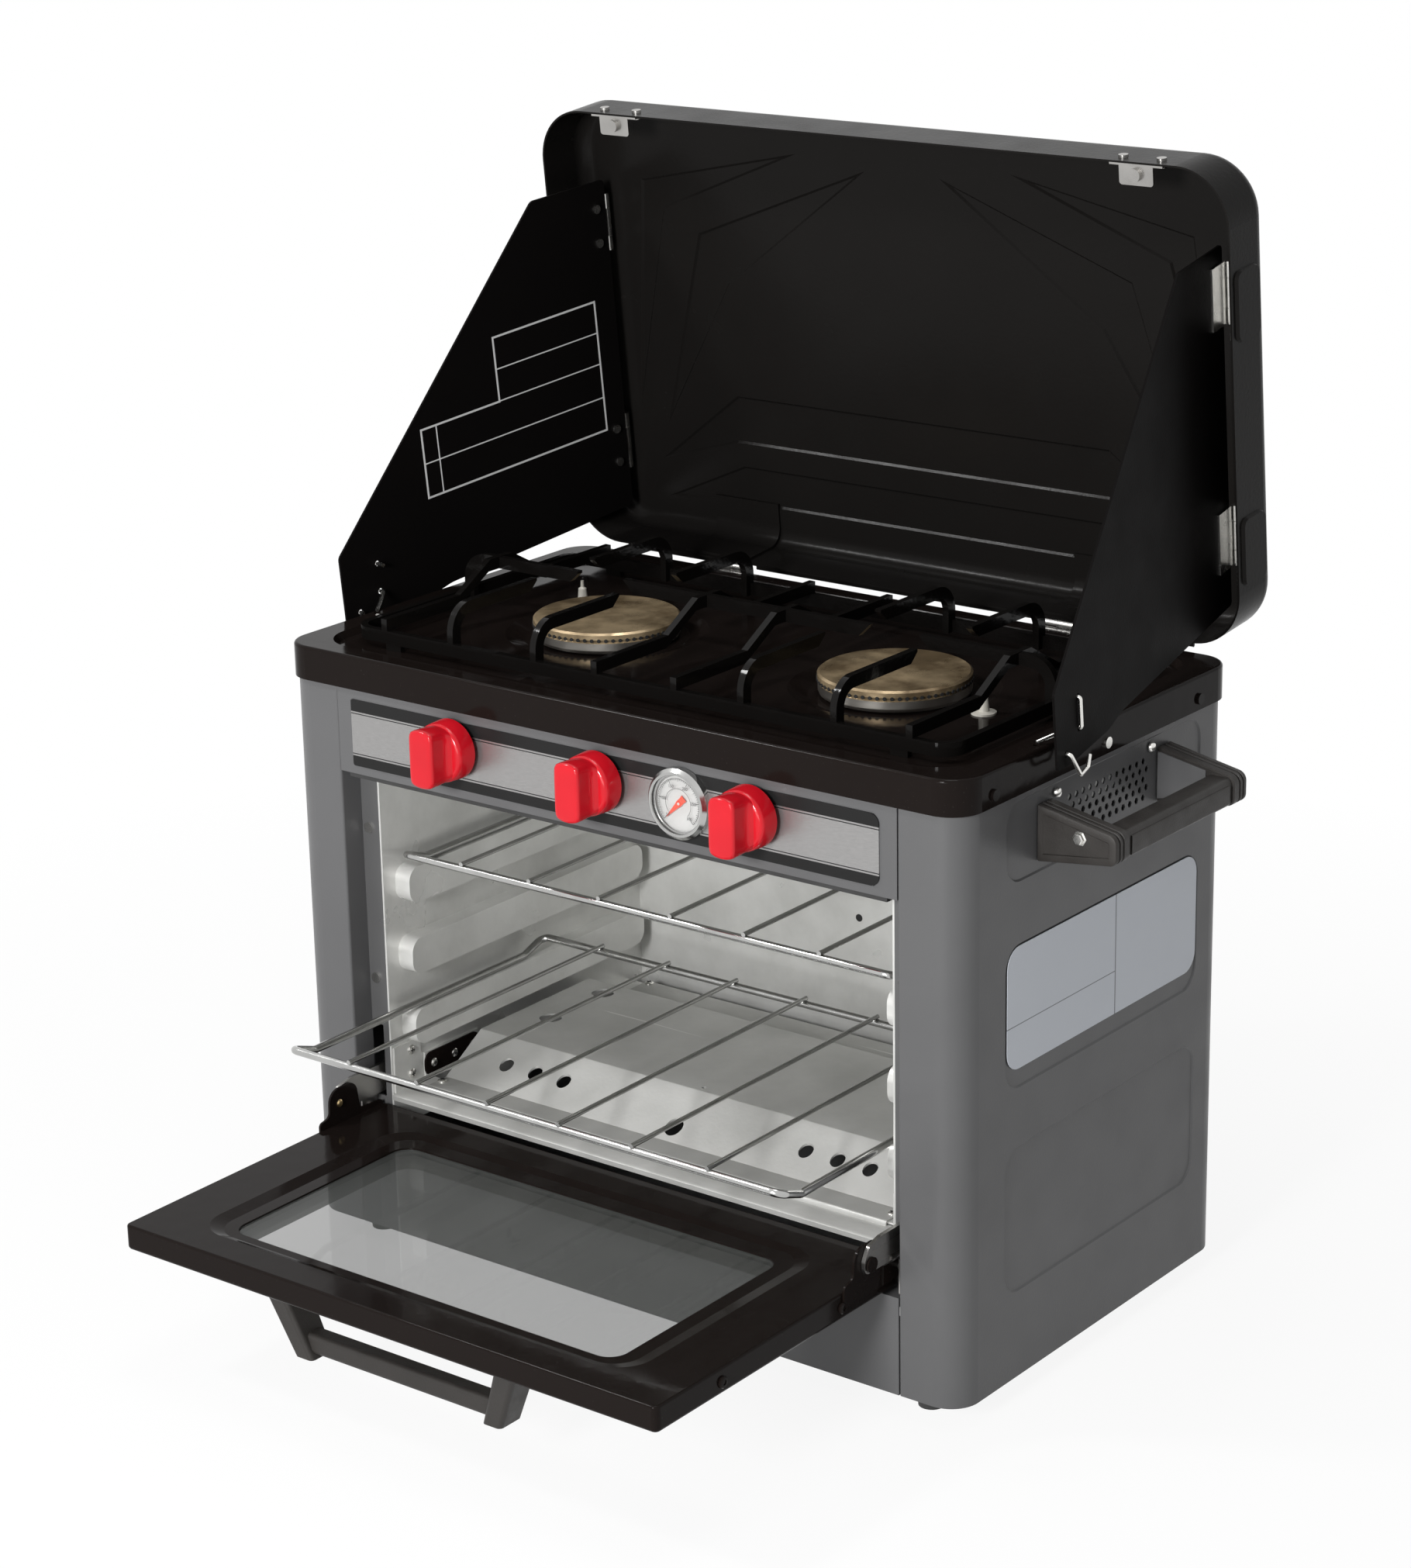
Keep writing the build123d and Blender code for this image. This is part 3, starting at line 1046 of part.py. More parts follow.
def windshield():
    b = SHIELD_BOTTOM
    a = [SHIELD_LEN - back for back in SHIELD_BOTTOM_AT]
    pts = [(0, b[0]), (a[0], b[1]), (a[1], b[2]), (a[2], b[3]), (SHIELD_LEN, b[4])]
    pts += [(SHIELD_LEN, SHIELD_FRONT_TOP), (SHIELD_SLANT_AT, SHIELD_TOP), (0, SHIELD_TOP)]
    face = make_face(FilletPolyline(*pts, radius=[3, 40, 30, 10, 2, 5, 6, 3], close=True))
    shield = SHIELD_PLANE * Pos(0, 0, -SHIELD_T / 2) * extrude(face, SHIELD_T, dir=(0, 0, 1))
    for u, v in ((SHIELD_LEN - 30, 44.7), (SHIELD_LEN - 30, 26.0), (SHIELD_LEN - 12, 17.0)):
        shield -= SHIELD_PLANE * Pos(u, v, 0) * Cylinder(STAY_R + 0.8, 8)
    return shield


def shield_leaf(v):
    """Hinge leaf on the outer face of the windshield, curled round the pin."""
    t = 1.2
    z = -SHIELD_OUT - t / 2
    half = SHIELD_HINGE_L / 2
    leaf = SHIELD_PLANE * Pos(8, v, z) * Box(20, SHIELD_HINGE_L, t)
    y = (LID_HINGE_Y - v - half, LID_HINGE_Y - v + half)
    c = (PIVOT_X, LID_RIM + PIVOT_W)
    barrel = rod((c[0], y[0] + 10, c[1]), (c[0], y[1] - 10, c[1]), SHIELD_KNUCKLE_R)
    leaf += barrel
    cut = block((PIVOT_X - 3.2, PIVOT_X + 3.2), (y[0] - 1, y[0] + 9.7), (c[1] - 3.2, c[1] + 3.2))
    cut += block((PIVOT_X - 3.2, PIVOT_X + 3.2), (y[1] - 9.7, y[1] + 1), (c[1] - 3.2, c[1] + 3.2))
    leaf -= cut
    return leaf - rod((c[0], y[0] - 1, c[1]), (c[0], y[1] + 1, c[1]), 1.2 + RUN_FIT)


def lid_leaf(v):
    """Hinge leaf that runs from the pin out to the lid's side wall and along it to the rim."""
    t = 1.2
    half = SHIELD_HINGE_L / 2
    y = (LID_HINGE_Y - v - half, LID_HINGE_Y - v + half)
    wall = LID_HALF_W - SHEET - t / 2 - 0.1
    c = (PIVOT_X, LID_RIM + PIVOT_W)
    top = c[1] + SHIELD_KNUCKLE_R - t / 2
    line = FilletPolyline((c[0], top), (wall, top), (wall, LID_RIM + 2), radius=6)
    leaf = Pos(0, y[0], 0) * extrude(Plane.XZ * trace(line, t), SHIELD_HINGE_L, dir=(0, 1, 0))
    leaf -= block((c[0] - 3.2, c[0] + 3.2), (y[0] + 9.7, y[1] - 9.7), (c[1] - 3.2, c[1] + 3.2))
    leaf += rod((c[0], y[0], c[1]), (c[0], y[0] + 9.7, c[1]), SHIELD_KNUCKLE_R)
    leaf += rod((c[0], y[1] - 9.7, c[1]), (c[0], y[1], c[1]), SHIELD_KNUCKLE_R)
    return leaf + rod((c[0], y[0], c[1]), (c[0], y[1], c[1]), 1.2)


def stay_foot():
    """Where the stay's tail stops, above its hole in the cooktop flange, in the windshield's own plane."""
    turn = math.radians(LID_OPEN)
    dy = STAY_Y - LID_HINGE_Y
    dz = HOB_TOP + STAY_R + 0.4 - LID_HINGE_Z
    y = LID_HINGE_Y + dy * math.cos(turn) - dz * math.sin(turn)
    z = LID_HINGE_Z + dy * math.sin(turn) + dz * math.cos(turn)
    p = SHIELD_PLANE.to_local_coords(Vector(STAY_X, y, z))
    return (p.X, p.Y, p.Z)


def stay():
    """Wire stay through the windshield, and the small hook at its lower corner."""
    out = -SHIELD_OUT - STAY_R - 0.3
    inn = SHIELD_OUT + STAY_R + 1.5
    u = SHIELD_LEN - 30
    a = wire([(u, 44.7, inn + 3), (u, 44.7, out), (u, 26, out), (u, 26, inn), stay_foot()], STAY_R, 1.6)
    h = SHIELD_LEN - 12
    loop = [(h, 17, inn), (h, 17, out - 1), (h - 8, 2, out - 3), (h - 20, 2, out - 2), (h - 24, 8, out - 1.5)]
    hook = wire(loop, STAY_R, 1.6)
    return [SHIELD_PLANE * a, SHIELD_PLANE * hook]


def shield_screws(v):
    heads = []
    for dv in (-11.5, 11.5):
        heads.append(SHIELD_PLANE * Pos(9, v + dv, SHIELD_OUT + 0.7) * Cylinder(3, 1.4))
    return heads


def up(part):
    """Turn a lid piece from shut to where the lid stands."""
    return part.rotate(LID_AXIS, -LID_OPEN)


def place(part):
    solids = [Pos(0, FRONT_Y, 0) * s for s in part.solids()]
    return solids[0] if len(solids) == 1 else Compound(solids)


# ---- fasteners on the body
def body_screws():
    """Pan heads along the skirt, down the front flanges of the cavity and above the side handles."""
    heads = []
    side = BODY_HALF_W + SKIRT_OVER
    flange_x = CAVITY_HALF_W + LINER_FLANGE_W / 2
    for s in (-1, 1):
        for y in (30, BODY_D / 2 + 2, BODY_D - 39.5):
            heads.append(across(y, BODY_TOP + 7, (s * side, s * (side + SCREW_H)), SCREW_R))
        for z in (HINGE_Z + 0.38 * DOOR_H, HINGE_Z + 0.82 * DOOR_H):
            heads.append(along_y(s * flange_x, z, (LINER_FRONT - SCREW_H, LINER_FRONT), SCREW_R))
        for y in (GRAB_FRONT + 19.5, GRAB_BACK - 23):
            heads.append(across(y, GRAB_TOP + 2.2, (s * BODY_HALF_W, s * (BODY_HALF_W + SCREW_H)), 2.2))
    return group(heads)


NODES = {
    "side_panel_right": side_panel(),
    "side_panel_left": flip(side_panel()),
    "back_panel": back_panel(),
    "bottom_pan": bottom_pan(),
    "feet": feet(),
    "lower_front_panel": lower_front_panel(),
    "control_panel": control_panel(),
    "control_faceplate": control_faceplate(),
    "liner_side_right": liner_side(),
    "liner_side_left": flip(liner_side()),
    "liner_roof": liner_roof(),
    "liner_back": liner_back(),
    "oven_floor_plate": oven_floor_plate(),
    "oven_burner": oven_burner(),
    "gas_manifold": gas_manifold(),
    "gas_inlet": gas_inlet(),
    "gas_valves": group([valve(x) for x in KNOBS.values()]),
    "gas_tubes": group([burner_feed(-1), burner_feed(1), oven_feed()]),
    "thermometer_bezel": thermometer_bezel(),
    "thermometer_dial": thermometer_dial(),
    "thermometer_lens": thermometer_lens(),
    "thermometer_needle": thermometer_needle(),
    "thermometer_stem": thermometer_stem(),
    "cooktop": cooktop(),
    "burner_bases": pair(burner_base()),
    "burner_caps": pair(burner_cap()),
    "igniters": group([igniter(*at) for at in IGNITERS]),
    "grate": grate(),
    "side_handle_right": side_handle(),
    "side_handle_left": flip(side_handle()),
    "body_screws": body_screws(),
    "door_outer_frame": door_outer_frame(),
    "door_inner_frame": door_inner_frame(),
    "door_glass": door_glass(),
    "door_handle": door_handle(),
    "door_ears": pair(ear()),
    "door_hinge_brackets": pair(hinge_bracket()),
    "door_link_right": door_link(),
    "door_link_left": flip(door_link()),
    "rack_lower": Pos(0, RACK_HOME_Y - RACK_OUT, LOWER_RAIL_Z) * rack(),
    "rack_upper": Pos(0, RACK_HOME_Y + 1, UPPER_RAIL_Z) * rack(),
    "lid": up(lid()),
    "lid_hinge_leaves": up(pair(lid_hinge_leaf())),
    "lid_hinge_plates": up(pair(lid_hinge_plate())),
    "cooktop_hinge_leaves": pair(cooktop_hinge_leaf()),
    "lid_catches": up(pair(lid_catch())),
    "lid_shield_leaves": up(pair(group([lid_leaf(v) for v in SHIELD_HINGE_AT]))),
    "windshield_right": up(windshield()),
    "windshield_left": up(flip(windshield())),
}
for knob_side, knob_x in KNOBS.items():
    NODES["knob_" + knob_side] = knob(knob_x)
    NODES["valve_stem_" + knob_side] = valve_stem(knob_x)
    NODES["valve_spindle_" + knob_side] = valve_spindle(knob_x)
SHIELD_FITTINGS = group([shield_leaf(v) for v in SHIELD_HINGE_AT] + stay()
                        + [s for v in SHIELD_HINGE_AT for s in shield_screws(v)])
NODES["shield_fittings_right"] = up(SHIELD_FITTINGS)
NODES["shield_fittings_left"] = up(flip(SHIELD_FITTINGS))

os.makedirs("parts", exist_ok=True)
for node_name, node_part in NODES.items():
    export_step(place(node_part), "parts/" + node_name + ".step")
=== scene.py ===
"""Looks of a folding camp oven.

Enamel, paint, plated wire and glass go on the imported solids, and meshes add the fine detail:
knob grips, dial print, ribbed side handles, labels, trims, screws and nuts.
"""
import math

import bpy
import bmesh
from mathutils import Matrix, Vector


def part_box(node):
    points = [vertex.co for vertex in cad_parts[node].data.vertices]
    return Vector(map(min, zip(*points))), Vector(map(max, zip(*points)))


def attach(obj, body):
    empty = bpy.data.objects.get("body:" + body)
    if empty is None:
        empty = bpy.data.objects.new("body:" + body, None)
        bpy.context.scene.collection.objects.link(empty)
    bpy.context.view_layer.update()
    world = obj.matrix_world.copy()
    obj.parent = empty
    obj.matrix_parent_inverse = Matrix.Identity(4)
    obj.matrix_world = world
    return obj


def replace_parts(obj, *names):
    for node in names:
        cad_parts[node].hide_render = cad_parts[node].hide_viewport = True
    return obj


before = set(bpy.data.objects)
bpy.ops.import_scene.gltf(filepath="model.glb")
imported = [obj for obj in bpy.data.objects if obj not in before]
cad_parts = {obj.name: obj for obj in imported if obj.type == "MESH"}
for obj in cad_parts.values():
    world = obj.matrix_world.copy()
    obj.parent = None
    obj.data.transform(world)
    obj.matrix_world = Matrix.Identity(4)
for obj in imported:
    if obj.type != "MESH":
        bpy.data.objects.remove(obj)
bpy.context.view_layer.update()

MM = 0.001
FRONT_SETBACK = 61.2    # front panels behind the middle of the open oven, mm


def at(x, y, z):
    """Metres from millimetres, with y counted from the plane of the front panels."""
    return Vector((x, y - FRONT_SETBACK, z)) * MM


def depth_at(y):
    """Y in metres of a distance in mm behind the front panels."""
    return at(0, y, 0).y


# ------------------------------------------------------------------ where finishes change
# Millimetres; y counts from the front panels, z from the ground
BAND_TOP, BAND_LOW = 7.6, 6.6           # black bands of the faceplate
HAIRLINE_GAP, HAIRLINE = 1.0, 0.6       # silver between a band and its hairline; the hairline
LINER_FRONT = 17.0
CAVITY_HALF_W = 195.0
FLANGE_MARGIN = 1.3
SKIRT_LOW = 376.0
SKIRT_SCREW_Y, SKIRT_SCREW_REACH = 146.75, 10.0     # the one bare screw on each side
LABEL_RULE_Y, LABEL_UPRIGHT_HALF = 162.5, 0.5
LABEL_RULE_Z, LABEL_LEVEL_HALF = 236.0, 0.3

# ------------------------------------------------------------------ colours, linear
GREY_PAINT = (0.094, 0.094, 0.096)
FLANGE_PAINT = (0.085, 0.085, 0.086)
ENAMEL_BLACK = (0.0088, 0.0064, 0.0056)
GRATE_BLACK = (0.0045, 0.0040, 0.0037)
LID_BLACK = (0.0082, 0.0075, 0.0070)
SHIELD_BLACK = (0.0046, 0.0041, 0.0040)
SCREW_PAINT = (0.006, 0.0045, 0.004)
SCREW_PLATE = (0.78, 0.77, 0.74)
DUST = (0.12, 0.11, 0.10)
LINER_LIGHT, LINER_DARK = (0.70, 0.70, 0.68), (0.54, 0.54, 0.52)
FLOOR_LIGHT, FLOOR_DARK = (0.47, 0.47, 0.455), (0.36, 0.36, 0.345)
SCRATCH = (0.72, 0.72, 0.70)
BRASS_CLEAN, BRASS_STAINED = (0.50, 0.38, 0.23), (0.19, 0.135, 0.075)
FACE_SILVER = (0.32, 0.316, 0.312)
KNOB_RED = (0.50, 0.006, 0.014)
LABEL_PALE, LABEL_RULE = (0.56, 0.59, 0.64), (0.13, 0.14, 0.16)
# black of the rubber feet, also the painted shade of the gap above the door
RUBBER_AND_GAP_SHADE_BLACK = (0.02, 0.02, 0.02)
INK_BLACK = (0.012, 0.012, 0.012)

NOISE_SPAN = (0.3, 0.7)     # values of a noise that a drift runs between


# ------------------------------------------------------------------ shaders
class Graph:
    """A node tree with short ways to add and join nodes."""

    def __init__(self, owner):
        owner.use_nodes = True
        self.tree = owner.node_tree

    def feed(self, socket, value):
        """Link to a node's output, or set a plain value."""
        if isinstance(value, bpy.types.NodeSocket):
            self.tree.links.new(value, socket)
        else:
            socket.default_value = value

    def node(self, kind, **inputs):
        node = self.tree.nodes.new(kind)
        for key, value in inputs.items():
            self.feed(node.inputs[key.replace("_", " ")], value)
        return node

    def span(self, value, low, high, out_low=0.0, out_high=1.0):
        return self.node("ShaderNodeMapRange", Value=value, From_Min=low, From_Max=high,
                         To_Min=out_low, To_Max=out_high).outputs["Result"]

    def math(self, operation, a, b=0.0):
        node = self.tree.nodes.new("ShaderNodeMath")
        node.operation = operation
        self.feed(node.inputs[0], a)
        self.feed(node.inputs[1], b)
        return node.outputs[0]

    def seen(self):
        """One where the eye looks straight, through glass or by a mirror, else nought."""
        path = self.node("ShaderNodeLightPath").outputs
        straight = self.math("MAXIMUM", path["Is Camera Ray"], path["Is Transmission Ray"])
        return self.math("MAXIMUM", straight, path["Is Glossy Ray"])


class Finish(Graph):
    """A procedural material, built up from one Principled shader."""

    def __init__(self, name, color, roughness, metallic=0.0, **sockets):
        self.mat = bpy.data.materials.new(name)
        super().__init__(self.mat)
        self.bsdf = self.tree.nodes["Principled BSDF"]
        self.set("Base Color", (*color, 1.0))
        self.set("Roughness", roughness)
        self.set("Metallic", metallic)
        for socket, value in sockets.items():
            self.set(socket.replace("_", " "), value)

    def set(self, socket, value):
        self.feed(self.bsdf.inputs[socket], value)

    def coords(self, stretch=(1, 1, 1)):
        """Place on the object in metres, stretched along each axis."""
        place = self.node("ShaderNodeTexCoord").outputs["Object"]
        if stretch == (1, 1, 1):
            return place
        return self.node("ShaderNodeMapping", Vector=place, Scale=stretch).outputs["Vector"]

    def axis(self, name):
        return self.node("ShaderNodeSeparateXYZ", Vector=self.coords()).outputs[name]

    def noise(self, scale, detail=3.0, stretch=(1, 1, 1), roughness=0.5):
        return self.node("ShaderNodeTexNoise", Vector=self.coords(stretch), Scale=scale, Detail=detail,
                         Roughness=roughness).outputs["Fac"]

    def within(self, value, low, high):
        """One where the value lies between two numbers, else nought."""
        above = self.math("GREATER_THAN", value, low)
        return self.math("MULTIPLY", above, self.math("LESS_THAN", value, high))

    def mix(self, factor, a, b):
        node = self.tree.nodes.new("ShaderNodeMix")
        node.data_type = "RGBA"
        self.feed(node.inputs["Factor"], factor)
        for socket, value in ((node.inputs["A"], a), (node.inputs["B"], b)):
            self.feed(socket, value if isinstance(value, bpy.types.NodeSocket) else (*value, 1.0))
        return node.outputs["Result"]

    def grain(self, scale, detail, depth, stretch=(1, 1, 1)):
        """Fine relief; its depth is in metres."""
        height = self.noise(scale, detail, stretch)
        bump = self.node("ShaderNodeBump", Height=height, Distance=depth, Strength=1.0)
        self.set("Normal", bump.outputs["Normal"])

    def mottle(self, color, spread, scale, stretch=(1, 1, 1)):
        """Colour that drifts a little lighter and darker over the surface."""
        dark = tuple(c * (1 - spread) for c in color)
        light = tuple(min(1.0, c * (1 + spread)) for c in color)
        mixed = self.mix(self.span(self.noise(scale, 4, stretch), *NOISE_SPAN), dark, light)
        self.set("Base Color", mixed)
        return mixed

    def rough_drift(self, low, high, scale, stretch=(1, 1, 1)):
        self.set("Roughness", self.span(self.noise(scale, 3, stretch), *NOISE_SPAN, low, high))


def paint(name, color, rough, grain, depth, spread=0.06, **sockets):
    """Sprayed or powder-coated sheet: slight drift of colour, fine orange-peel."""
    f = Finish(name, color, rough[0], **sockets)
    f.mottle(color, spread=spread, scale=9)
    f.rough_drift(*rough, scale=35)
    f.grain(scale=grain, detail=2, depth=depth)
    return f.mat


def brushed(name, color, roughness, stretch):
    """Metal sheet with a rolled grain along one axis."""
    f = Finish(name, color, roughness, metallic=1.0)
    f.mottle(color, spread=0.12, scale=30, stretch=stretch)
    f.rough_drift(roughness - 0.06, roughness + 0.08, scale=60, stretch=stretch)
    f.grain(scale=220, detail=3, depth=0.00003, stretch=stretch)
    return f.mat


def plated(name, color, roughness):
    """Bright wire or pressed hardware."""
    f = Finish(name, color, roughness, metallic=1.0)
    f.mottle(color, spread=0.08, scale=60)
    f.rough_drift(roughness, roughness + 0.1, scale=90)
    return f.mat


def enamel(name, color, roughness):
    """Glassy fired enamel with a slow ripple and specks of dust."""
    f = Finish(name, color, roughness, Specular_IOR_Level=0.06)
    dust = f.span(f.noise(scale=900, detail=1), 0.72, 0.8)
    f.set("Base Color", f.mix(f.math("MULTIPLY", dust, 0.2), color, DUST))
    f.rough_drift(roughness, roughness + 0.07, scale=40)
    f.grain(scale=55, detail=2, depth=0.00012)
    return f.mat


def brass_cap():
    """Burner cap: turned brass, heat-tinted brown in patches."""
    f = Finish("brass_cap", BRASS_CLEAN, 0.34, metallic=0.6)
    stain = f.span(f.noise(scale=24, detail=5, roughness=0.65), 0.40, 0.60)
    f.set("Base Color", f.mix(stain, BRASS_CLEAN, BRASS_STAINED))
    f.rough_drift(0.24, 0.42, scale=60)
    f.grain(scale=260, detail=3, depth=0.00004)
    return f.mat


def textured_plastic(name, color):
    f = Finish(name, color, 0.5, Specular_IOR_Level=0.3)
    f.mottle(color, spread=0.15, scale=40)
    f.rough_drift(0.42, 0.6, scale=80)
    f.grain(scale=900, detail=2, depth=0.00012)
    return f.mat


def red_plastic():
    f = Finish("red_plastic", KNOB_RED, 0.16, Specular_IOR_Level=0.32)
    f.mottle(KNOB_RED, spread=0.06, scale=30)
    f.rough_drift(0.12, 0.20, scale=70)
    f.grain(scale=150, detail=2, depth=0.00004)
    return f.mat


def liner_sheet():
    """Aluminised steel: grey spangle with faint smears; its front flanges carry grey paint."""
    metallic = 0.40
    f = Finish("liner_sheet", LINER_LIGHT, 0.36, metallic)
    smear = f.span(f.noise(scale=14, detail=5, roughness=0.6), 0.35, 0.68)
    sheet = f.mix(smear, LINER_LIGHT, LINER_DARK)
    in_front = f.math("LESS_THAN", f.axis("Y"), depth_at(LINER_FRONT + FLANGE_MARGIN))
    off_middle = f.math("ABSOLUTE", f.axis("X"))
    outside = f.math("GREATER_THAN", off_middle, (CAVITY_HALF_W + FLANGE_MARGIN) * MM)
    flange = f.math("MULTIPLY", in_front, outside)
    f.set("Base Color", f.mix(flange, sheet, FLANGE_PAINT))
    f.set("Metallic", f.span(flange, 0, 1, metallic, 0.0))
    f.rough_drift(0.26, 0.42, scale=25)
    f.grain(scale=420, detail=3, depth=0.00005)
    return f.mat


def floor_sheet():
    """Floor plate: satin steel with smears and a few long scratches."""
    f = Finish("floor_sheet", FLOOR_LIGHT, 0.42, metallic=0.35)
    smear = f.span(f.noise(scale=11, detail=5, roughness=0.6), 0.35, 0.7)
    sheet = f.mix(smear, FLOOR_LIGHT, FLOOR_DARK)
    scratch = f.span(f.noise(scale=46, detail=2, stretch=(0.10, 3.0, 1)), 0.735, 0.76)
    f.set("Base Color", f.mix(f.math("MULTIPLY", scratch, 0.7), sheet, SCRATCH))
    f.rough_drift(0.36, 0.52, scale=30)
    f.grain(scale=420, detail=3, depth=0.00005)
    return f.mat


def screw_heads():
    """Plated pan heads; those at the skirt's ends are under the enamel."""
    f = Finish("screw_heads", SCREW_PLATE, 0.22, metallic=1.0, Specular_IOR_Level=0.08)
    on_skirt = f.math("GREATER_THAN", f.axis("Z"), SKIRT_LOW * MM)
    along = f.math("SUBTRACT", f.axis("Y"), depth_at(SKIRT_SCREW_Y))
    at_end = f.math("GREATER_THAN", f.math("ABSOLUTE", along), SKIRT_SCREW_REACH * MM)
    painted = f.math("MULTIPLY", on_skirt, at_end)
    f.set("Base Color", f.mix(painted, SCREW_PLATE, SCREW_PAINT))
    f.set("Metallic", f.span(painted, 0, 1, 1.0, 0.0))
    f.rough_drift(0.16, 0.28, scale=90)
    return f.mat


def label_film():
    """Bare pale label with its ruled lines."""
    f = Finish("label_film", LABEL_PALE, 0.34, Specular_IOR_Level=0.4)
    upright = f.within(f.axis("Y"), depth_at(LABEL_RULE_Y - LABEL_UPRIGHT_HALF),
                       depth_at(LABEL_RULE_Y + LABEL_UPRIGHT_HALF))
    level = f.within(f.axis("Z"), (LABEL_RULE_Z - LABEL_LEVEL_HALF) * MM,
                     (LABEL_RULE_Z + LABEL_LEVEL_HALF) * MM)
    front = f.math("LESS_THAN", f.axis("Y"), depth_at(LABEL_RULE_Y))
    rule = f.math("MAXIMUM", upright, f.math("MULTIPLY", level, front))
    f.set("Base Color", f.mix(rule, LABEL_PALE, LABEL_RULE))
    f.rough_drift(0.30, 0.40, scale=60)
    return f.mat


def faceplate_sheet():
    """Brushed silver plate, with a black band and a hairline along its top and its bottom."""
    metallic, roughness = 0.75, 0.24
    f = Finish("faceplate_sheet", FACE_SILVER, roughness, metallic, Specular_IOR_Level=0.15)
    z = f.axis("Z")
    silver = f.mottle(FACE_SILVER, spread=0.1, scale=30, stretch=(8, 8, 120))
    low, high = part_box("control_faceplate")
    top, bottom = high.z - BAND_TOP * MM, low.z + BAND_LOW * MM
    near, far = HAIRLINE_GAP * MM, (HAIRLINE_GAP + HAIRLINE) * MM
    bands = f.math("ADD", f.math("GREATER_THAN", z, top), f.math("LESS_THAN", z, bottom))
    lines = f.math("ADD", f.within(z, top - far, top - near), f.within(z, bottom + near, bottom + far))
    ink = f.math("ADD", bands, lines)
    f.set("Base Color", f.mix(ink, silver, INK_BLACK))
    f.set("Metallic", f.span(ink, 0, 1, metallic, 0.0))
    f.set("Roughness", f.span(ink, 0, 1, roughness, 0.30))
    f.grain(scale=300, detail=2, depth=0.00002, stretch=(2, 2, 60))
    return f.mat


def clear_glass(name, tint, roughness, alpha):
    """Thin pane: see-through with its reflections kept."""
    f = Finish(name, tint, roughness, Alpha=alpha, IOR=1.5)
    f.rough_drift(roughness, roughness + 0.03, scale=50)
    return f.mat


def rubber():
    # Rubber of the feet; the same black paints the shade in the gap above the door
    f = Finish("foot_rubber_and_gap_shade", RUBBER_AND_GAP_SHADE_BLACK, 0.7)
    f.mottle(RUBBER_AND_GAP_SHADE_BLACK, spread=0.2, scale=60)
    f.grain(scale=500, detail=2, depth=0.0001)
    return f.mat


ALONG_X, ALONG_Y = (0.04, 1, 1), (1, 0.04, 1)
MATS = {
    "body": paint("body_paint", GREY_PAINT,
                  rough=(0.30, 0.42), grain=700, depth=0.00006, Specular_IOR_Level=0.3),
    "enamel": enamel("black_enamel", ENAMEL_BLACK, 0.07),
    "grate": paint("grate_enamel", GRATE_BLACK,
                   rough=(0.07, 0.14), grain=260, depth=0.00008, Specular_IOR_Level=0.13),
    "lid": paint("lid_paint", LID_BLACK,
                 rough=(0.20, 0.28), grain=420, depth=0.00008, Specular_IOR_Level=0.055),
    "shield": paint("shield_paint", SHIELD_BLACK,
                    rough=(0.38, 0.46), grain=700, depth=0.00006, Specular_IOR_Level=0.015),
    "liner": liner_sheet(),
    "floor": floor_sheet(),
    "screw": screw_heads(),
    "face": faceplate_sheet(),
    "chrome": plated("rack_chrome", (0.48, 0.48, 0.47), 0.13),
    "hinge": plated("hinge_plating", (0.74, 0.73, 0.70), 0.2),
    "steel": brushed("plain_steel", (0.40, 0.39, 0.375), 0.30, ALONG_Y),
    "alloy": brushed("burner_alloy", (0.60, 0.57, 0.52), 0.34, ALONG_X),
    "cap": brass_cap(),
    "brass": plated("brass_fitting", (0.66, 0.50, 0.26), 0.28),
    "handle": textured_plastic("handle_plastic", (0.024, 0.0215, 0.0195)),
    "red": red_plastic(),
    "glass": clear_glass("door_pane", (0.10, 0.105, 0.10), 0.02, 0.42),
    "lens": clear_glass("gauge_lens", (0.25, 0.25, 0.25), 0.02, 0.10),
    "dial": paint("dial_face", (0.62, 0.62, 0.605),
                  rough=(0.35, 0.45), grain=300, depth=0.00001, spread=0.02),
    "needle": paint("needle_paint", (0.82, 0.06, 0.015),
                    rough=(0.3, 0.4), grain=300, depth=0.00001, spread=0.03),
    "ceramic": paint("ceramic", (0.50, 0.48, 0.43), rough=(0.15, 0.3), grain=200, depth=0.00003),
    "rubber": rubber(),
    "ink": paint("black_ink", INK_BLACK, rough=(0.4, 0.5), grain=300, depth=0.00001),
    # near-black of the painted shade inside holes and recesses
    "hole_shade": paint("painted_hole_shade", (0.004, 0.004, 0.004), rough=(0.7, 0.9), grain=300, depth=0.00001),
    "label": label_film(),
    "print": paint("white_print", (0.62, 0.62, 0.62),
                   rough=(0.4, 0.5), grain=300, depth=0.00001, spread=0.02),
}

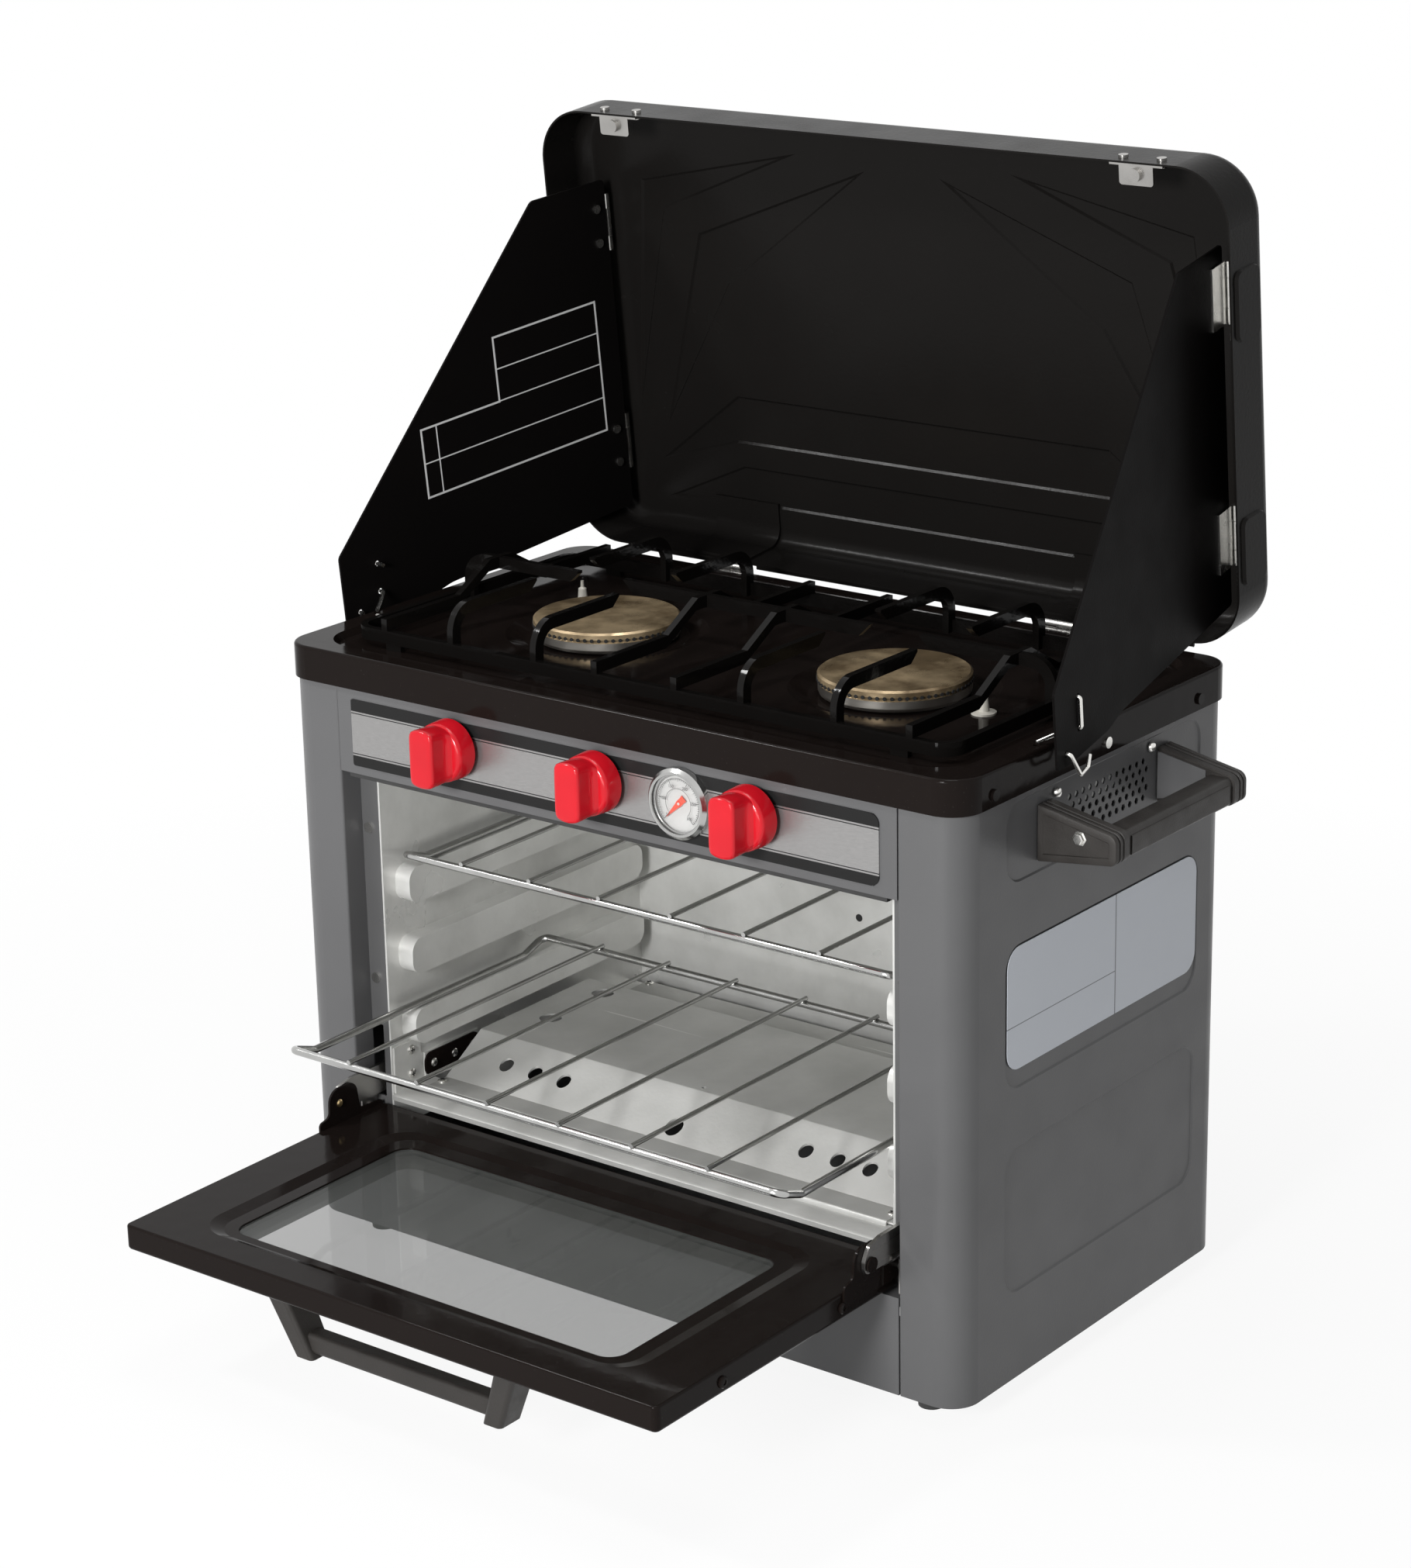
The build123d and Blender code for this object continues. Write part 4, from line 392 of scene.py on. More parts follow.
NODE_FINISH = {
    "body": ("side_panel_right", "side_panel_left", "back_panel", "bottom_pan", "lower_front_panel",
             "control_panel"),
    "rubber": ("feet",),
    "face": ("control_faceplate",),
    "liner": ("liner_side_right", "liner_side_left", "liner_roof", "liner_back"),
    "floor": ("oven_floor_plate",),
    "steel": ("oven_burner", "thermometer_stem", "door_hinge_brackets", "door_link_right",
              "door_link_left", "lid_catches"),
    "alloy": ("gas_manifold", "gas_tubes", "burner_bases"),
    "brass": ("gas_inlet", "gas_valves", "valve_stem_left", "valve_spindle_left", "valve_stem_centre",
              "valve_spindle_centre", "valve_stem_right", "valve_spindle_right"),
    "chrome": ("thermometer_bezel", "rack_lower", "rack_upper"),
    "dial": ("thermometer_dial",),
    "lens": ("thermometer_lens",),
    "needle": ("thermometer_needle",),
    "enamel": ("cooktop", "door_outer_frame", "door_inner_frame", "door_ears"),
    "cap": ("burner_caps",),
    "ceramic": ("igniters",),
    "grate": ("grate",),
    "handle": ("side_handle_right", "side_handle_left", "door_handle"),
    "screw": ("body_screws",),
    "glass": ("door_glass",),
    "lid": ("lid", "lid_hinge_plates"),
    "hinge": ("lid_hinge_leaves", "cooktop_hinge_leaves", "lid_shield_leaves", "shield_fittings_right",
              "shield_fittings_left"),
    "shield": ("windshield_right", "windshield_left"),
    "red": ("knob_left", "knob_centre", "knob_right"),
}
for finish, node_names in NODE_FINISH.items():
    for node_name in node_names:
        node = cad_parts[node_name]
        node.data.materials.clear()
        node.data.materials.append(MATS[finish])

# ------------------------------------------------------------------ mesh tools, all in mm
SHARP = math.radians(34)
BODY_SIDES = (-1, 1)
UP = (0, 0, 1)


def new_piece(name, bm, mat, body):
    mesh = bpy.data.meshes.new(name)
    bmesh.ops.recalc_face_normals(bm, faces=bm.faces)
    bm.to_mesh(mesh)
    bm.free()
    for face in mesh.polygons:
        face.use_smooth = True
    mesh.set_sharp_from_angle(angle=SHARP)
    obj = bpy.data.objects.new(name, mesh)
    bpy.context.scene.collection.objects.link(obj)
    mesh.materials.append(MATS[mat])
    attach(obj, body)
    return obj


def skin(bm, rings, closed=False):
    """Faces between rings of points; a ring of one point closes an end."""
    rows = [[bm.verts.new(point) for point in ring] for ring in rings]
    following = rows[1:] + rows[:1] if closed else rows[1:]
    for a, b in zip(rows, following):
        count = max(len(a), len(b))
        for i in range(count):
            j = (i + 1) % count
            if len(a) == 1:
                bm.faces.new((a[0], b[i], b[j]))
            elif len(b) == 1:
                bm.faces.new((a[i], a[j], b[0]))
            else:
                bm.faces.new((a[i], a[j], b[j], b[i]))


def axes(origin, u, v):
    """Matrix with its first two axes along u and v; the third points out of them."""
    u, v = Vector(u).normalized(), Vector(v).normalized()
    turn = Matrix((u, v, u.cross(v))).transposed().to_4x4()
    return Matrix.Translation(origin) @ turn


def facing(x, y, z):
    """Axes on the front: first to the right, second up, third towards the user."""
    return axes(at(x, y, z), (1, 0, 0), UP)


def on_wall(x, y, z, out=1):
    """Axes on an upright side: second up, third to the right, or to the left where out is -1."""
    return axes(at(x, y, z), (0, out, 0), UP)


def upward(x, y, z):
    return Matrix.Translation(at(x, y, z))


def lathe(bm, place, profile, segments=20, closed=False):
    """Turned solid about the third axis, from pairs of radius and height."""
    rings = []
    for radius, height in profile:
        steps = segments if radius else 1
        turns = [2 * math.pi * i / steps for i in range(steps)]
        rings.append([place @ (Vector((radius * math.cos(t), radius * math.sin(t), height)) * MM)
                      for t in turns])
    skin(bm, rings, closed)


def slab(bm, place, outline, low, high):
    """Straight-sided plate over an outline, between two heights on the third axis."""
    ends = [[bm.verts.new(place @ (Vector((u, v, h)) * MM)) for u, v in outline] for h in (low, high)]
    bm.faces.new(ends[0][::-1])
    bm.faces.new(ends[1])
    for i in range(len(outline)):
        j = (i + 1) % len(outline)
        bm.faces.new((ends[0][i], ends[0][j], ends[1][j], ends[1][i]))


def band(bm, place, outer, inner, low, high):
    """Flat frame between two outlines of equal length."""
    loops = [[place @ (Vector((u, v, h)) * MM) for u, v in line]
             for line, h in ((outer, low), (outer, high), (inner, high), (inner, low))]
    skin(bm, loops, closed=True)


def rounded(x0, x1, y0, y1, radius, steps=6):
    """Outline of a rectangle with round corners, counter-clockwise."""
    points = []
    for cx, cy, start in ((x1 - radius, y0 + radius, -90), (x1 - radius, y1 - radius, 0),
                          (x0 + radius, y1 - radius, 90), (x0 + radius, y0 + radius, 180)):
        for i in range(steps + 1):
            t = math.radians(start + 90 * i / steps)
            points.append((cx + radius * math.cos(t), cy + radius * math.sin(t)))
    return points


def cross(bm, place, radius, height):
    """Cross recess, laid on the crown of a screw head as a dark slab of painted shade."""
    arm, half = radius * 0.5, radius * 0.11
    outline = [(arm, -half), (arm, half), (half, half), (half, arm), (-half, arm), (-half, half),
               (-arm, half), (-arm, -half), (-half, -half), (-half, -arm), (half, -arm), (half, -half)]
    slab(bm, place, outline, height - 0.2, height + 0.12)


def screw(heads, marks, place, radius, height):
    """Domed head with a cross recess."""
    lathe(heads, place, ((0, 0), (radius, 0), (radius, height * 0.35), (radius * 0.8, height * 0.8),
                         (radius * 0.45, height), (0, height)))
    cross(marks, place, radius, height)


# ------------------------------------------------------------------ knobs
KNOB_X = {"left": -113.6, "centre": -0.8, "right": 112.0}
KNOB_Z = 351.8
KNOB_BACK = -4.0
KNOB_R, KNOB_BASE, KNOB_TALL = 19.0, 15.0, 29.0     # round base: radius, height; height with the grip
BASE_HOLLOW, BASE_DISH, BASE_STEPS = 0.4, 0.8, 64   # how far its back and its front fall in
GRIP_STEPS, GRIP_POWER = 72, 12                     # the power squares the grip's corners
# Back edge of the base: how far in from its radius, and the height
BASE_BACK = ((2.2, 0.4), (2.0, 0), (0.5, 0), (0, 0.6))
# Front edge of the base: how far in from its radius, and how far below its top
BASE_EDGE = ((0.5, 4.2), (1.0, 2.6), (1.9, 1.6), (3.4, 1.1))
# Grip: half width, half length, height above the base's top
GRIP_FOOT = ((13.4, 17.6, -2.6), (12.4, 17.6, -0.9), (11.0, 17.7, 0.5), (10.0, 17.9, 2.2), (9.5, 18.1, 4.6))
# Grip: half width, half length, depth below its front
GRIP_CROWN = ((9.3, 18.3, 2.6), (9.15, 18.2, 1.5), (8.7, 17.8, 0.7), (8.0, 17.1, 0.2), (7.0, 16.0, 0.02),
              (4.5, 10.0, 0.0))


def grip_ring(place, half, reach, height):
    """Outline of the grip: a strip cut off by a circle, with round corners."""
    ring = []
    for i in range(GRIP_STEPS):
        t = 2 * math.pi * i / GRIP_STEPS
        across, along = (abs(math.cos(t)) / half) ** GRIP_POWER, (1 / reach) ** GRIP_POWER
        radius = (across + along) ** (-1 / GRIP_POWER)
        ring.append(place @ (Vector((radius * math.cos(t), radius * math.sin(t), height)) * MM))
    return ring


def knob(side, x):
    """Round base, flaring grip with soft edges."""
    bm = bmesh.new()
    place = facing(x, KNOB_BACK, KNOB_Z)
    profile = [(0, BASE_HOLLOW)]
    profile += [(KNOB_R - inward, height) for inward, height in BASE_BACK]
    profile += [(KNOB_R - inward, KNOB_BASE - below) for inward, below in BASE_EDGE]
    profile.append((0, KNOB_BASE - BASE_DISH))
    lathe(bm, place, profile, BASE_STEPS)
    levels = [(half, reach, KNOB_BASE + above) for half, reach, above in GRIP_FOOT]
    levels += [(half, reach, KNOB_TALL - below) for half, reach, below in GRIP_CROWN]
    rings = [grip_ring(place, *level) for level in levels]
    rings.append([place @ Vector((0, 0, KNOB_TALL * MM))])
    skin(bm, rings)
    piece = new_piece("knob_cap_" + side, bm, "red", "knob_" + side)
    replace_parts(piece, "knob_" + side)


for side, x in KNOB_X.items():
    knob(side, x)

# ------------------------------------------------------------------ thermometer
GAUGE_X, GAUGE_Z = 59.5, 349.05
DIAL_FACE = -4.0
SWEEP_FROM, SWEEP_TO = 225.0, -45.0     # degrees, from the reader's lower left round to the lower right
TICKS = 50
TICK_HALF_W, TICK_OUTER = 0.16, 15.2
TICK_LONG, TICK_MIDDLE, TICK_SHORT = 12.6, 13.6, 14.2   # where each kind starts
ARC_RADII, ARC_HALF_W, ARC_STEPS = (15.2, 9.2), 0.12, 60
INK_T = 0.06
NUMBERS = ("50", "100", "150", "200", "250", "300")
NUMBER_R, NUMBER_SIZE, NUMBER_HALF_T, NUMBER_LIFT = 11.1, 2.7, 0.03, 0.04
CONE_SECTION = ((19.2, 0.2), (19.2, 0.6), (17.4, 0.25), (16.9, 0.1), (16.9, 0.02))
NEEDLE_X, NEEDLE_Y, NEEDLE_TURN = 59.48, -3.05, 225.2
NEEDLE_EDGE = ((13.2, 0.25), (2.6, 1.5), (0, 2.1), (-2.6, 1.9), (-5.2, 2.3))
NEEDLE_T = 0.5
NEEDLE_HUB = ((0, 0.5), (1.7, 0.5), (1.5, 0.85), (0, 0.95))


def sweep(step, steps):
    """Angle on the dial after some of the steps from its start to its end."""
    return math.radians(SWEEP_FROM + (SWEEP_TO - SWEEP_FROM) * step / steps)


def round_point(radius, turn):
    return radius * math.cos(turn), radius * math.sin(turn)


def dial_number(text, place, turn):
    """Flat number, upright on the dial."""
    curve = bpy.data.curves.new("dial_number_" + text, "FONT")
    curve.body = text
    curve.size = NUMBER_SIZE * MM
    curve.extrude = NUMBER_HALF_T * MM
    curve.align_x, curve.align_y = "CENTER", "CENTER"
    flat = bpy.data.objects.new("dial_number", curve)
    bm = bmesh.new()
    bm.from_mesh(bpy.data.meshes.new_from_object(flat))
    bpy.data.objects.remove(flat)
    spot = Vector((*round_point(NUMBER_R, turn), NUMBER_LIFT)) * MM
    bmesh.ops.transform(bm, matrix=place @ Matrix.Translation(spot), verts=bm.verts)
    new_piece("dial_number_" + text, bm, "ink", "body")


def dial_print():
    """Scale of the dial: ticks, two arcs and the numbers."""
    bm = bmesh.new()
    place = facing(GAUGE_X, DIAL_FACE, GAUGE_Z)
    for i in range(TICKS + 1):
        inner = TICK_LONG if i % 10 == 0 else TICK_MIDDLE if i % 5 == 0 else TICK_SHORT
        mark = place @ Matrix.Rotation(sweep(i, TICKS), 4, "Z")
        slab(bm, mark, ((inner, -TICK_HALF_W), (TICK_OUTER, -TICK_HALF_W), (TICK_OUTER, TICK_HALF_W),
                        (inner, TICK_HALF_W)), 0, INK_T)
    arc = [sweep(i, ARC_STEPS) for i in range(ARC_STEPS + 1)]
    for radius in ARC_RADII:
        outline = [round_point(radius - ARC_HALF_W, t) for t in arc]
        outline += [round_point(radius + ARC_HALF_W, t) for t in reversed(arc)]
        slab(bm, place, outline, 0, INK_T)
    new_piece("dial_marks", bm, "ink", "body")
    for i, text in enumerate(NUMBERS):
        dial_number(text, place, sweep(i, len(NUMBERS) - 1))


def gauge_cone():
    """Bright cone between the bezel's rim and the dial."""
    bm = bmesh.new()
    lathe(bm, facing(GAUGE_X, DIAL_FACE, GAUGE_Z), CONE_SECTION, segments=72, closed=True)
    new_piece("gauge_cone", bm, "chrome", "body")


def needle():
    bm = bmesh.new()
    place = facing(NEEDLE_X, NEEDLE_Y, GAUGE_Z) @ Matrix.Rotation(math.radians(NEEDLE_TURN), 4, "Z")
    outline = NEEDLE_EDGE + tuple((u, -v) for u, v in reversed(NEEDLE_EDGE))
    slab(bm, place, outline, 0, NEEDLE_T)
    lathe(bm, place, NEEDLE_HUB, segments=24)
    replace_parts(new_piece("needle_pointer", bm, "needle", "needle"), "thermometer_needle")


dial_print()
gauge_cone()
needle()

# ------------------------------------------------------------------ burners
BURNERS = ((-110.0, 142.0), (110.0, 142.0))
CAP_R = 46.0
PORTS, PORT_Z = 66, 398.0
PORT_OFFSET = 0.25      # from the cap's rim
PORT_PROFILE = ((0, -0.6), (1.15, -0.6), (1.15, 0.2), (0, 0.2))     # heights run inwards


def burner_ports():
    """Row of flame holes round the lower edge of each cap, drawn as dark discs of painted shade."""
    bm = bmesh.new()
    for x, y in BURNERS:
        for i in range(PORTS):
            t = 2 * math.pi * (i + 0.5) / PORTS
            out, tangent = (math.cos(t), math.sin(t), 0), (-math.sin(t), math.cos(t), 0)
            spot = at(x, y, PORT_Z) + Vector(out) * (CAP_R + PORT_OFFSET) * MM
            lathe(bm, axes(spot, UP, tangent), PORT_PROFILE, segments=12)
    new_piece("burner_ports", bm, "hole_shade", "body")


burner_ports()

# ------------------------------------------------------------------ label, print and faceplate
LABEL_X, LABEL_T, LABEL_R = 252.3, 0.4, 12.0
LABEL_Y, LABEL_Z = (47.2, 254.2), (209.0, 283.6)
# The windshield's inner face: lower rear corner of the notice, then a point along each of its edges
NOTICE_CORNER = (-234.6, 299.7, 474.5)
NOTICE_FRONT, NOTICE_TOP = (-256.6, 141.9, 456.5), (-234.7, 289.9, 564.4)
NOTICE_W, NOTICE_LOW_H = 160, 47        # lower block
NOTICE_HEAD_W, NOTICE_H = 92, 90        # upper block, over the rear of the lower one
NOTICE_FRAME, NOTICE_RULE = 1.3, 0.8
NOTICE_LIFT, NOTICE_T = 0.05, 0.25
NOTICE_RULES_Z = (46.2, 67.6, 23.0)
NOTICE_UPRIGHT = 147
FACE_END_FROM, FACE_END_TO, FACE_END_R = 150.0, 198.4, 6.0
FACE_END_LIFT, FACE_END_T = 0.02, 0.8


def side_label():
    bm = bmesh.new()
    slab(bm, on_wall(LABEL_X, 0, 0), rounded(*LABEL_Y, *LABEL_Z, LABEL_R), 0, LABEL_T)
    new_piece("side_label", bm, "label", "body")


def notice_outline(inset):
    """Outline of the notice, drawn in by an inset; its rear edge is at nought, its front edge below it."""
    front, head = -NOTICE_W + inset, -NOTICE_HEAD_W + inset
    low, high = NOTICE_LOW_H - inset, NOTICE_H - inset
    return [(front, inset), (-inset, inset), (-inset, high), (head, high), (head, low), (front, low)]


def shield_print():
    """Ruled frame of the bare notice on the inner face of the left windshield."""
    corner, front, top = at(*NOTICE_CORNER), at(*NOTICE_FRONT), at(*NOTICE_TOP)
    place = axes(corner, corner - front, top - corner)
    bm = bmesh.new()
    band(bm, place, notice_outline(0), notice_outline(NOTICE_FRAME), NOTICE_LIFT, NOTICE_T)
    rear, head, front_edge = -NOTICE_FRAME, -NOTICE_HEAD_W + NOTICE_FRAME, -NOTICE_W + NOTICE_FRAME
    under_head, in_head, in_low = NOTICE_RULES_Z
    above_low = in_low + NOTICE_RULE
    upright = (-NOTICE_UPRIGHT, -NOTICE_UPRIGHT + NOTICE_RULE)
    for (u0, u1), (v0, v1) in (((head, rear), (under_head, under_head + NOTICE_RULE)),
                               ((head, rear), (in_head, in_head + NOTICE_RULE)),
                               ((front_edge, rear), (in_low, above_low)),
                               (upright, (NOTICE_FRAME, in_low)),
                               (upright, (above_low, NOTICE_LOW_H - NOTICE_FRAME))):
        slab(bm, place, ((u0, v0), (u1, v0), (u1, v1), (u0, v1)), NOTICE_LIFT, NOTICE_T)
    new_piece("shield_print", bm, "print", "windshield_left")


def faceplate_end():
    """Right-hand end of the faceplate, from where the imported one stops."""
    low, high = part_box("control_faceplate")
    outline = rounded(FACE_END_FROM, FACE_END_TO, low.z / MM, high.z / MM, FACE_END_R)
    outline = [(max(u, high.x / MM), v) for u, v in outline]
    outline = [point for i, point in enumerate(outline) if point != outline[i - 1]]
    bm = bmesh.new()
    slab(bm, facing(0, 0, 0), outline, FACE_END_LIFT, FACE_END_T)
    new_piece("faceplate_end", bm, "face", "body")


side_label()
shield_print()
faceplate_end()

# ------------------------------------------------------------------ side handles
GRAB_ROOT_X, GRAB_FRONT, GRAB_BACK = 252.5, 77.5, 222.0
GRAB_TOP, GRAB_BOTTOM = 362.4, 328.6
GRAB_MIDDLE_X, GRAB_MIDDLE_Z = 276.0, 345.0
# Outer corners of a bracket: centre x and z, radius, first and last angle
GRAB_CORNERS = ((298.1, 347.4, 6.0, 80, 0), (299.1, 339.6, 5.0, 0, -83))
CORNER_STEPS, CORNER_LEAST = 6, 0.3
# Layers of a bracket from its outer face inwards: how far the outline is drawn in, and the depth
GRAB_LAYERS = ((5.4, 0.7), (4.7, 0.0), (1.3, 0.0), (0.4, 0.4), (0.0, 1.1), (0.0, 3.2), (1.3, 3.8),
               (1.3, 4.8), (0.0, 5.4), (0.0, 7.2), (1.3, 7.8), (1.3, 8.8), (0.0, 9.4), (0.0, 14.2),
               (0.8, 15.0))
RIB_INSET, ROOT_SLOPE = 1.3, 0.9    # deeper layers than the ribs also leave the wall
# The bar and the strip on its face: x, z, corner radius, y
GRAB_BARS = (((285.6, 302.4), (334.9, 351.9), 3.5, (92.0, 207.5)),
             ((301.4, 303.3), (337.2, 348.6), 0.8, (96.0, 203.5)))
CHEEK_OUTLINE = ((252.7, 331), (285.2, 337), (285.2, 354), (252.7, 360))
CHEEK_Y, CHEEK_BACK, CHEEK_FACE = (206.9, 93.2), -0.1, 0.6


def bracket_ring(side, y, inset):
    """Outline of a bracket that tapers outwards, its outer corners rounded."""
    root = GRAB_ROOT_X + max(0.0, inset - RIB_INSET) * ROOT_SLOPE
    line = [(root, GRAB_TOP - inset)]
    for x, z, radius, first, last in GRAB_CORNERS:
        reach = max(radius - inset, CORNER_LEAST)
        for i in range(CORNER_STEPS + 1):
            t = math.radians(first + (last - first) * i / CORNER_STEPS)
            line.append((x + reach * math.cos(t), z + reach * math.sin(t)))
    line.append((root, GRAB_BOTTOM + inset))
    return [at(side * x, y, z) for x, z in line]


def side_grip(name, side):
    """Bar between two ribbed brackets, with a facing strip along the bar."""
    bm = bmesh.new()
    for face, inward in ((GRAB_FRONT, 1), (GRAB_BACK, -1)):
        rings = [bracket_ring(side, face + inward * depth, inset) for inset, depth in GRAB_LAYERS]
        caps = [[at(side * GRAB_MIDDLE_X, face + inward * depth, GRAB_MIDDLE_Z)]
                for _, depth in (GRAB_LAYERS[0], GRAB_LAYERS[-1])]
        skin(bm, caps[:1] + rings + caps[1:])
    for along_x, along_z, radius, (front, back) in GRAB_BARS:
        outline = [(side * x, z) for x, z in rounded(*along_x, *along_z, radius)]
        slab(bm, facing(0, back, 0), outline, 0, back - front)
    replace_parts(new_piece("side_grip_" + name, bm, "handle", "body"), "side_handle_" + name)


def grip_plates():
    """Sheet cheeks on the inner faces of the brackets."""
    bm = bmesh.new()
    for side in BODY_SIDES:
        for y in CHEEK_Y:
            slab(bm, facing(0, y, 0), [(side * x, z) for x, z in CHEEK_OUTLINE], CHEEK_BACK, CHEEK_FACE)
    new_piece("grip_plates", bm, "body", "body")


side_grip("right", 1)
side_grip("left", -1)
grip_plates()

# ------------------------------------------------------------------ folded trims
# Sections, as y and z
SILL_HALF = CAVITY_HALF_W - 0.4
SILL_SECTION = ((15.8, 96.2), (15.8, 99.2), (17.2, 100.2), (34.0, 101.6), (34.0, 100.6), (17.0, 99.2),
                (16.6, 96.2))
# Black strip between the door's top and the control panel: painted shade of that gap
GAP_SHADE_HALF = 203
GAP_SHADE_SECTION = ((0.4, 317.0), (16.6, 317.0), (16.6, 319.5), (0.4, 319.5))
HEM_SPANS = ((-220, -146), (-112, 112), (146, 220))     # between and outside the lid's hinges
HEM_SECTION = ((300.6, 396.0), (301.4, 395.5), (302.3, 396.2), (302.6, 402.0), (300.6, 401.8))


def trim(name, section, spans, mat, body):
    """Folded strips of one section, along x."""
    bm = bmesh.new()
    for x0, x1 in spans:
        slab(bm, on_wall(x0, 0, 0), section, 0, x1 - x0)
    new_piece(name, bm, mat, body)


# Sill below the floor plate, turned down at the door; black strip in the gap above the door, painted shade
# of that gap; the lid's rolled edge
trim("cavity_sill", SILL_SECTION, ((-SILL_HALF, SILL_HALF),), "floor", "body")
trim("gap_shade_strip", GAP_SHADE_SECTION, ((-GAP_SHADE_HALF, GAP_SHADE_HALF),), "rubber", "body")
trim("lid_hem", HEM_SECTION, HEM_SPANS, "lid", "lid")

# ------------------------------------------------------------------ screws, nuts and rivets
# Black strip on the cavity's left wall: y, z and corner radius, from the wall to its face
RUNNER_STRIP, RUNNER_WALL, RUNNER_FACE = ((45, 98), (102.5, 118.5), 6.0), -193.0, 1.2
# Screw heads: y, z on the strip; y, z on the wall; x, y on the floor plate
STRIP_SCREWS, STRIP_HEAD = ((53, 110.5), (73, 110.5), (91, 111)), (2.9, 1.3)
WALL_SCREWS, WALL_X = ((34, 125), (34, 108.7)), -193.8
FLOOR_SCREWS, FLOOR_Z = ((-176, 43), (176, 43), (-175, 255), (175, 255)), 104.5
PAN_HEAD = (3.2, 1.4)
SPARE_HOLE, SPARE_HOLE_PROFILE = (-10.4, 272, 181.3), ((0, 0), (2.6, 0), (2.6, 0.2), (0, 0.3))
NUT_X, NUT_Y, NUT_Z = 202.0, (-44.5, -156.5), 85.6
NUT_PROFILE = ((0, 0), (3.6, 0), (3.6, 1.0), (3.0, 1.7), (1.6, 1.8), (1.5, 1.3), (0, 1.2))
BOLT_X, BOLT_Y, BOLT_Z = 280.0, 78.4, 347.5
BOLT_PROFILE = ((0, 0), (4.6, 0), (4.6, 0.8), (3.6, 0.9), (3.4, 2.6), (2.8, 3.2), (0, 3.3))
RIVET_X, RIVET_Y, RIVET_Z = 202.0, -25.7, 106.7
RIVET_PROFILE = ((0, 0), (2.6, 0), (2.6, 0.4), (1.8, 1.1), (0, 1.3))
DOME_X, DOME_Y, DOME_Z = 252.5, (97, 199), 364.6
DOME_PROFILE = ((0, 0), (3.1, 0), (3.1, 0.9), (2.4, 2.0), (1.2, 2.5), (0, 2.6))


def hardware():
    """Screws, nuts and rivets, the strip that three of the screws hold, and a spare hole in painted shade.
    """
    heads, marks, brass, black, nuts = (bmesh.new() for _ in range(5))
    (y0, y1), (z0, z1), radius = RUNNER_STRIP
    slab(black, on_wall(RUNNER_WALL, 0, 0, -1), rounded(-y1, -y0, z0, z1, radius), -RUNNER_FACE, 0.0)
    for y, z in STRIP_SCREWS:
        screw(heads, marks, on_wall(RUNNER_WALL + RUNNER_FACE, y, z), *STRIP_HEAD)
    for y, z in WALL_SCREWS:
        screw(heads, marks, on_wall(WALL_X, y, z), *PAN_HEAD)
    for x, y in FLOOR_SCREWS:
        screw(heads, marks, upward(x, y, FLOOR_Z), *PAN_HEAD)
    lathe(marks, facing(*SPARE_HOLE), SPARE_HOLE_PROFILE)
    for side in BODY_SIDES:
        for y in NUT_Y:
            lathe(nuts, on_wall(side * NUT_X, y, NUT_Z, side), NUT_PROFILE)
        lathe(heads, facing(side * BOLT_X, BOLT_Y, BOLT_Z), BOLT_PROFILE, segments=6)
        lathe(brass, on_wall(side * RIVET_X, RIVET_Y, RIVET_Z), RIVET_PROFILE)
        for y in DOME_Y:
            lathe(heads, on_wall(side * DOME_X, y, DOME_Z, side), DOME_PROFILE)
    new_piece("pressed_heads", heads, "hinge", "body")
    # cross recesses and the spare hole: painted shade
    new_piece("head_recesses", marks, "hole_shade", "body")
    new_piece("runner_strip", black, "enamel", "body")
    new_piece("door_nuts", nuts, "enamel", "door")
    new_piece("ear_rivets", brass, "brass", "door")


hardware()

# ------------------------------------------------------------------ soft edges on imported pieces
EDGE_RADII = {"grate": 1.1, "lid": 0.9, "door_handle": 1.2, "door_outer_frame": 0.8, "cooktop": 0.8}
for node_name, radius in EDGE_RADII.items():
    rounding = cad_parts[node_name].modifiers.new("edge_radius", "BEVEL")
    rounding.width = radius * MM
    rounding.segments = 2
    rounding.limit_method = "ANGLE"
    rounding.angle_limit = SHARP
    rounding.harden_normals = True

# ------------------------------------------------------------------ floor, light and camera
FLOOR_HALF = 12                                     # metres from here on
FLOOR_GREY = (0.86, 0.86, 0.86, 1)
FADE_FROM, FADE_TO, SHADE_KEPT = 0.35, 1.1, 0.10    # the shadow fades out between these distances
WHITE = (1, 1, 1, 1)
FILL = 0.216                                        # strength of the white as light
# Name, place, aim, size, watts
LAMPS = (("key_front", (0.35, -2.05, 0.98), (0, 0, 0.28), (0.45, 0.45), 43),
         ("key_high", (-1.35, -0.95, 2.1), (0, 0, 0.4), (0.35, 0.35), 22),
         ("fill_low", (0.35, -2.2, 0.35), (0, 0, 0.2), (1.2, 0.5), 9),
         ("top", (0.1, 0.1, 2.3), (0, 0, 0.3), (1.0, 0.6), 9))
CAMERA_AT = (1.3463, -1.6863, 1.0373)
CAMERA_TURN, CAMERA_TILT, CAMERA_ROLL = (math.radians(a) for a in (38.0, 18.10, -1.176))
LENS = 86.95
CLIP_START = 0.05


